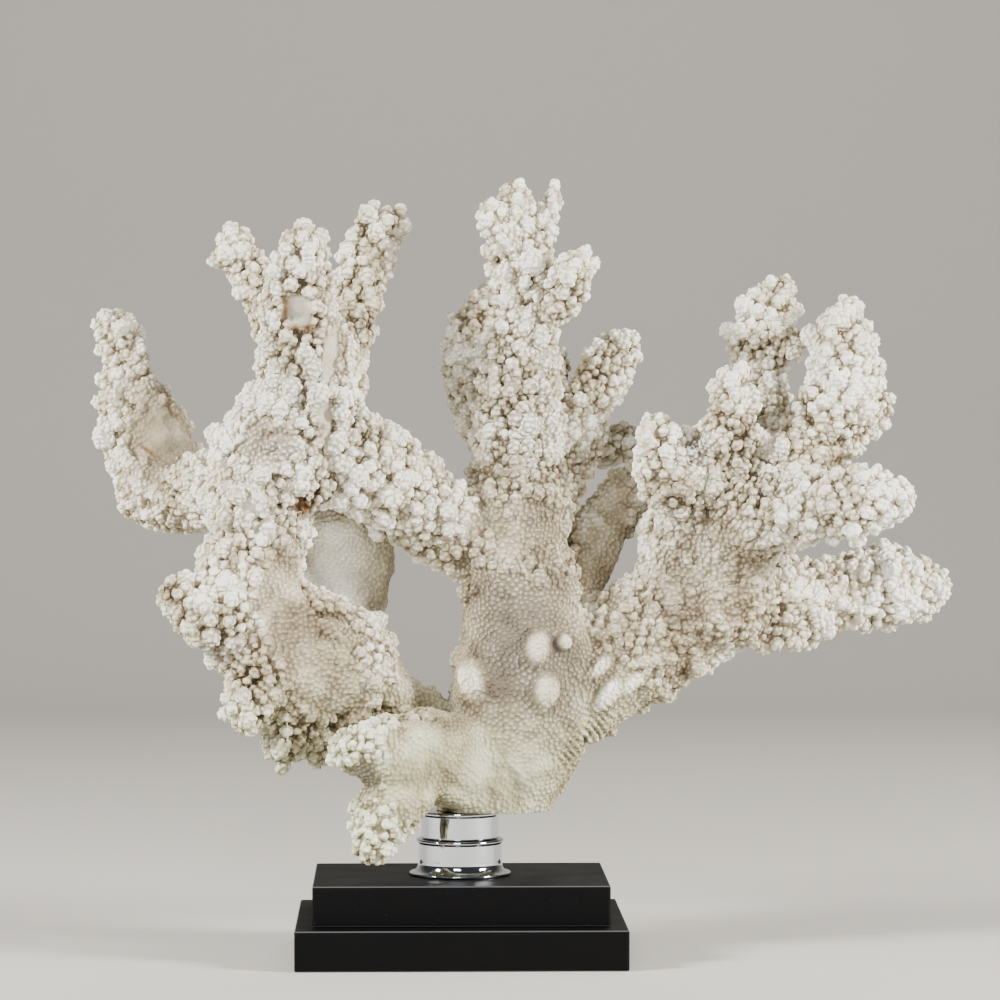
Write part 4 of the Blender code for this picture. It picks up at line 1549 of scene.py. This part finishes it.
def closed_rings(name: str, rings: np.ndarray) -> bpy.types.Object:
    """Join rings of points into a closed, smoothly shaded skin with a fan over each end, on the root body.

    Args:
        name: Name of the solid that it replaces.
        rings: Rings by points by coordinates, from the lowest upwards, anticlockwise seen from above.

    Returns:
        The new piece.
    """
    rows, columns = rings.shape[:2]
    quads = grid_quads(rows, columns, wrap=True)[:, ::-1]
    ring = np.arange(columns)
    after = np.roll(ring, -1)
    low, high, top = rows * columns, rows * columns + 1, (rows - 1) * columns
    faces = np.vstack([quads[:, [0, 1, 2]], quads[:, [0, 2, 3]],
                       np.stack([np.full(columns, low), after, ring], axis=1),
                       np.stack([np.full(columns, high), top + ring, top + after], axis=1)])
    points = np.vstack([rings.reshape(-1, 3), rings[0].mean(axis=0), rings[-1].mean(axis=0)])
    mesh = mesh_from(name + "_finished", points, faces, MM)
    mesh.shade_smooth()
    piece = placed(name + "_finished", mesh)
    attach(piece, "root")
    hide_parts(name)
    return piece


@dataclass
class Board:
    """One board of the plinth, with rounded edges that catch a thin line of light.

    Attributes:
        node: The solid that it replaces.
        width: Extent in X.
        depth: Extent in Y.
        base: Height of its underside.
        thickness: Its thickness.
        edge: Radius of its edges.
        corner: Radius of its upright corners.
        margin: Length of the flat strip beside each corner.
    """

    node: str
    width: float
    depth: float
    base: float
    thickness: float = 20.0
    edge: float = 0.9
    corner: float = 1.4
    margin: float = 1.5

    def build(self, finish: bpy.types.Material) -> None:
        """Stack outlines: each is the board's outline drawn in by the edge's quarter circle.

        The attribute "edge" is 1 on the rings in the middle of each rounded edge, where a painted highlight
        lightens the paint.

        Args:
            finish: The paint.
        """
        turn = np.radians(np.arange(0, 91, 15))
        inset = self.edge * (1 - np.cos(turn))
        rise = self.edge * (1 - np.sin(turn[::-1]))
        inset = np.concatenate([[2.5 * self.edge], inset[::-1], [0.0, 0.0], inset, [2.5 * self.edge]])
        rise = np.concatenate([[0.0], rise, [2 * self.edge]])
        height = self.base + np.concatenate([rise, self.thickness - rise[::-1]])
        around = np.radians(np.arange(0, 91, 15))
        corner_x = np.concatenate([[0.0], np.cos(around), [0.0]])
        corner_y = np.concatenate([[0.0], np.sin(around), [0.0]])
        radius = np.maximum(self.corner - inset, 0.05)[:, None]
        reach_x = 0.5 * self.width - inset[:, None] - radius
        reach_y = 0.5 * self.depth - inset[:, None] - radius
        flat = np.zeros(len(around) + 2)
        flat[[0, -1]] = self.margin
        first, last = (np.arange(len(flat)) == 0), (np.arange(len(flat)) == len(flat) - 1)
        x = reach_x + radius * np.where(first, 1.0, corner_x) - np.where(last, self.margin, 0.0)
        y = reach_y + radius * np.where(last, 1.0, corner_y) - np.where(first, self.margin, 0.0)
        outline_x = np.hstack([x, -x[:, ::-1], -x, x[:, ::-1]])
        outline_y = np.hstack([y, y[:, ::-1], -y, -y[:, ::-1]])
        rings = np.stack([outline_x, outline_y, np.broadcast_to(height[:, None], outline_x.shape)], axis=-1)
        board = closed_rings(self.node, rings)
        board.data.materials.append(finish)
        # Rows that carry the painted edge highlight.
        worn = np.zeros(len(board.data.vertices))
        rows = len(height)
        highlight_rows = np.isin(np.arange(rows), [3, 4, 5, rows - 6, rows - 5, rows - 4])
        worn[:rings[..., 0].size] = np.repeat(highlight_rows, rings.shape[1])
        layer = board.data.attributes.new("edge", "FLOAT", "POINT")
        layer.data.foreach_set("value", worn.astype(np.float32))


@dataclass
class Drum:
    """One turned part of the collar.

    Attributes:
        node: The solid that it replaces.
        profile: (radius, height) from the underside's edge upwards.
    """

    node: str
    profile: tuple[tuple[float, float], ...]

    def build(self, finish: bpy.types.Material) -> None:
        """Turn the profile about the upright axis.

        Args:
            finish: The plating.
        """
        radius, height = np.array(self.profile).T[:, :, None]
        angle = np.linspace(0, math.tau, 144, endpoint=False)[None, :]
        rings = np.stack([radius * np.cos(angle), radius * np.sin(angle), height * np.ones_like(angle)],
                         axis=-1)
        closed_rings(self.node, rings).data.materials.append(finish)


@dataclass
class Stand:
    """The two boards and the two drums of the collar."""

    black: bpy.types.Material
    chrome: bpy.types.Material

    def build(self) -> None:
        """Build all four from the table up."""
        Board("plinth_lower_board", 163.0, 128.0, 0.0).build(self.black)
        Board("plinth_upper_board", 146.0, 102.0, 20.3).build(self.black)
        turn = np.radians(np.arange(0, 91, 10))
        flare = [(24.6 - 3.6 * math.sin(a), 41.9 + 4.5 * (1 - math.cos(a))) for a in turn]
        bead = [(21.0 + 0.8 * math.sin(a), 56.4 + 1.1 * (1 - math.cos(a)))
                for a in np.radians(range(0, 181, 15))]
        foot = ((23.0, 40.6), (25.0, 40.6), (25.3, 40.75), (25.4, 41.0), (25.4, 41.5), (25.3, 41.75),
                (25.0, 41.9))
        Drum("collar_lower_drum", (*foot, *flare, (21.0, 47.5), (21.0, 56.0), *bead, (20.6, 58.6),
                                   (18.0, 58.6))).build(self.chrome)
        rim = [(19.5 + 0.7 * math.sin(a), 70.4 + 1.1 * (1 - math.cos(a)))
               for a in np.radians(range(0, 136, 15))]
        Drum("collar_upper_drum", ((17.0, 58.9), (19.3, 58.9), (19.5, 59.1), (19.5, 60.0), (19.5, 69.8), *rim,
                                   (19.6, 72.55), (19.3, 72.6), (17.0, 72.6))).build(self.chrome)


@dataclass
class Studio:
    """Camera, lights, floor and backdrop."""

    floor_colour: str = "#C2C0BB"

    def camera(self) -> None:
        """Set the camera where the photograph was taken from: 2 m in front, a hand's width left."""
        lens = bpy.data.cameras.new("camera")
        lens.lens = 144.0
        lens.sensor_width = 36.0
        lens.clip_end = 50.0
        view = placed("camera", lens)
        view.location = (-0.030, -2.0, 0.2719)
        view.rotation_euler = (math.pi / 2 - math.atan(0.022), 0.0, -math.atan(0.025))
        bpy.context.scene.camera = view

    def light(self, name: str, place: tuple[float, float, float], size: float, watts: float,
              colour: str = "#FFFFFF") -> None:
        """Add a square soft light that faces the coral's middle.

        Args:
            name: Name of the light.
            place: Where it stands.
            size: Side of the square.
            watts: Power.
            colour: Its colour.
        """
        lamp = bpy.data.lights.new(name, "AREA")
        lamp.shape = "SQUARE"
        lamp.size = size
        lamp.energy = watts
        lamp.color = linear(colour)[:3]
        stand = placed(name, lamp)
        reach = np.array([0.03, 0.0, 0.22]) - np.array(place)
        flat = math.hypot(reach[0], reach[1])
        stand.location = place
        stand.rotation_euler = (math.atan2(flat, -reach[2]), 0.0,
                                math.atan2(reach[1], reach[0]) - math.pi / 2)

    def sweep(self) -> None:
        """Lay a floor that rises behind in a quarter round: a profile of (y, z) carried along X."""
        turn = np.linspace(0, math.pi / 2, 24)
        y = np.concatenate([[-3.5, 1.6], 1.6 + 1.2 * np.sin(turn[1:]), [2.8]])
        z = np.concatenate([[0.0, 0.0], 1.2 - 1.2 * np.cos(turn[1:]), [4.5]])
        x = np.array([-5.0, 5.0])
        points = np.stack([np.repeat(x, len(y)), np.tile(y, 2), np.tile(z, 2)], axis=1)
        mesh = mesh_from("sweep", points, grid_quads(2, len(y), wrap=False))
        mesh.shade_smooth()
        paper = bpy.data.materials.new("seamless paper, matt")
        paper.use_nodes = True
        shader = paper.node_tree.nodes["Principled BSDF"]
        shader.inputs["Base Color"].default_value = linear(self.floor_colour)
        shader.inputs["Roughness"].default_value = 0.95
        mesh.materials.append(paper)
        floor = placed("sweep", mesh)

    def build(self) -> None:
        """Set up the whole studio."""
        self.camera()
        self.sweep()
        world = bpy.context.scene.world or bpy.data.worlds.new("studio")
        bpy.context.scene.world = world
        world.use_nodes = True
        world.node_tree.nodes["Background"].inputs["Color"].default_value = linear("#DFE3EA")
        world.node_tree.nodes["Background"].inputs["Strength"].default_value = 0.07
        self.light("left", (-1.6, -0.8, 1.1), 0.45, 88.0, "#FFFAF2")
        self.light("right", (1.7, -0.75, 0.8), 0.45, 94.0, "#FFFAF2")
        self.light("rear", (0.5, 1.15, 1.45), 0.6, 9.0, "#FFFAF2")
        self.light("front", (-0.3, -1.9, 1.0), 0.6, 20.0)


def main() -> None:
    """Build everything in order and report each piece of the coral."""
    logging.basicConfig(level=logging.INFO, format="%(message)s")
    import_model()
    Studio().build()
    Stand(BlackLacquer().material(), ChromePlate().material()).build()
    coral = Coral()
    finish = Aragonite().material()
    for piece in coral.pieces(coral.grown()):
        piece.data.materials.append(finish)


if __name__ == "__main__":
    main()
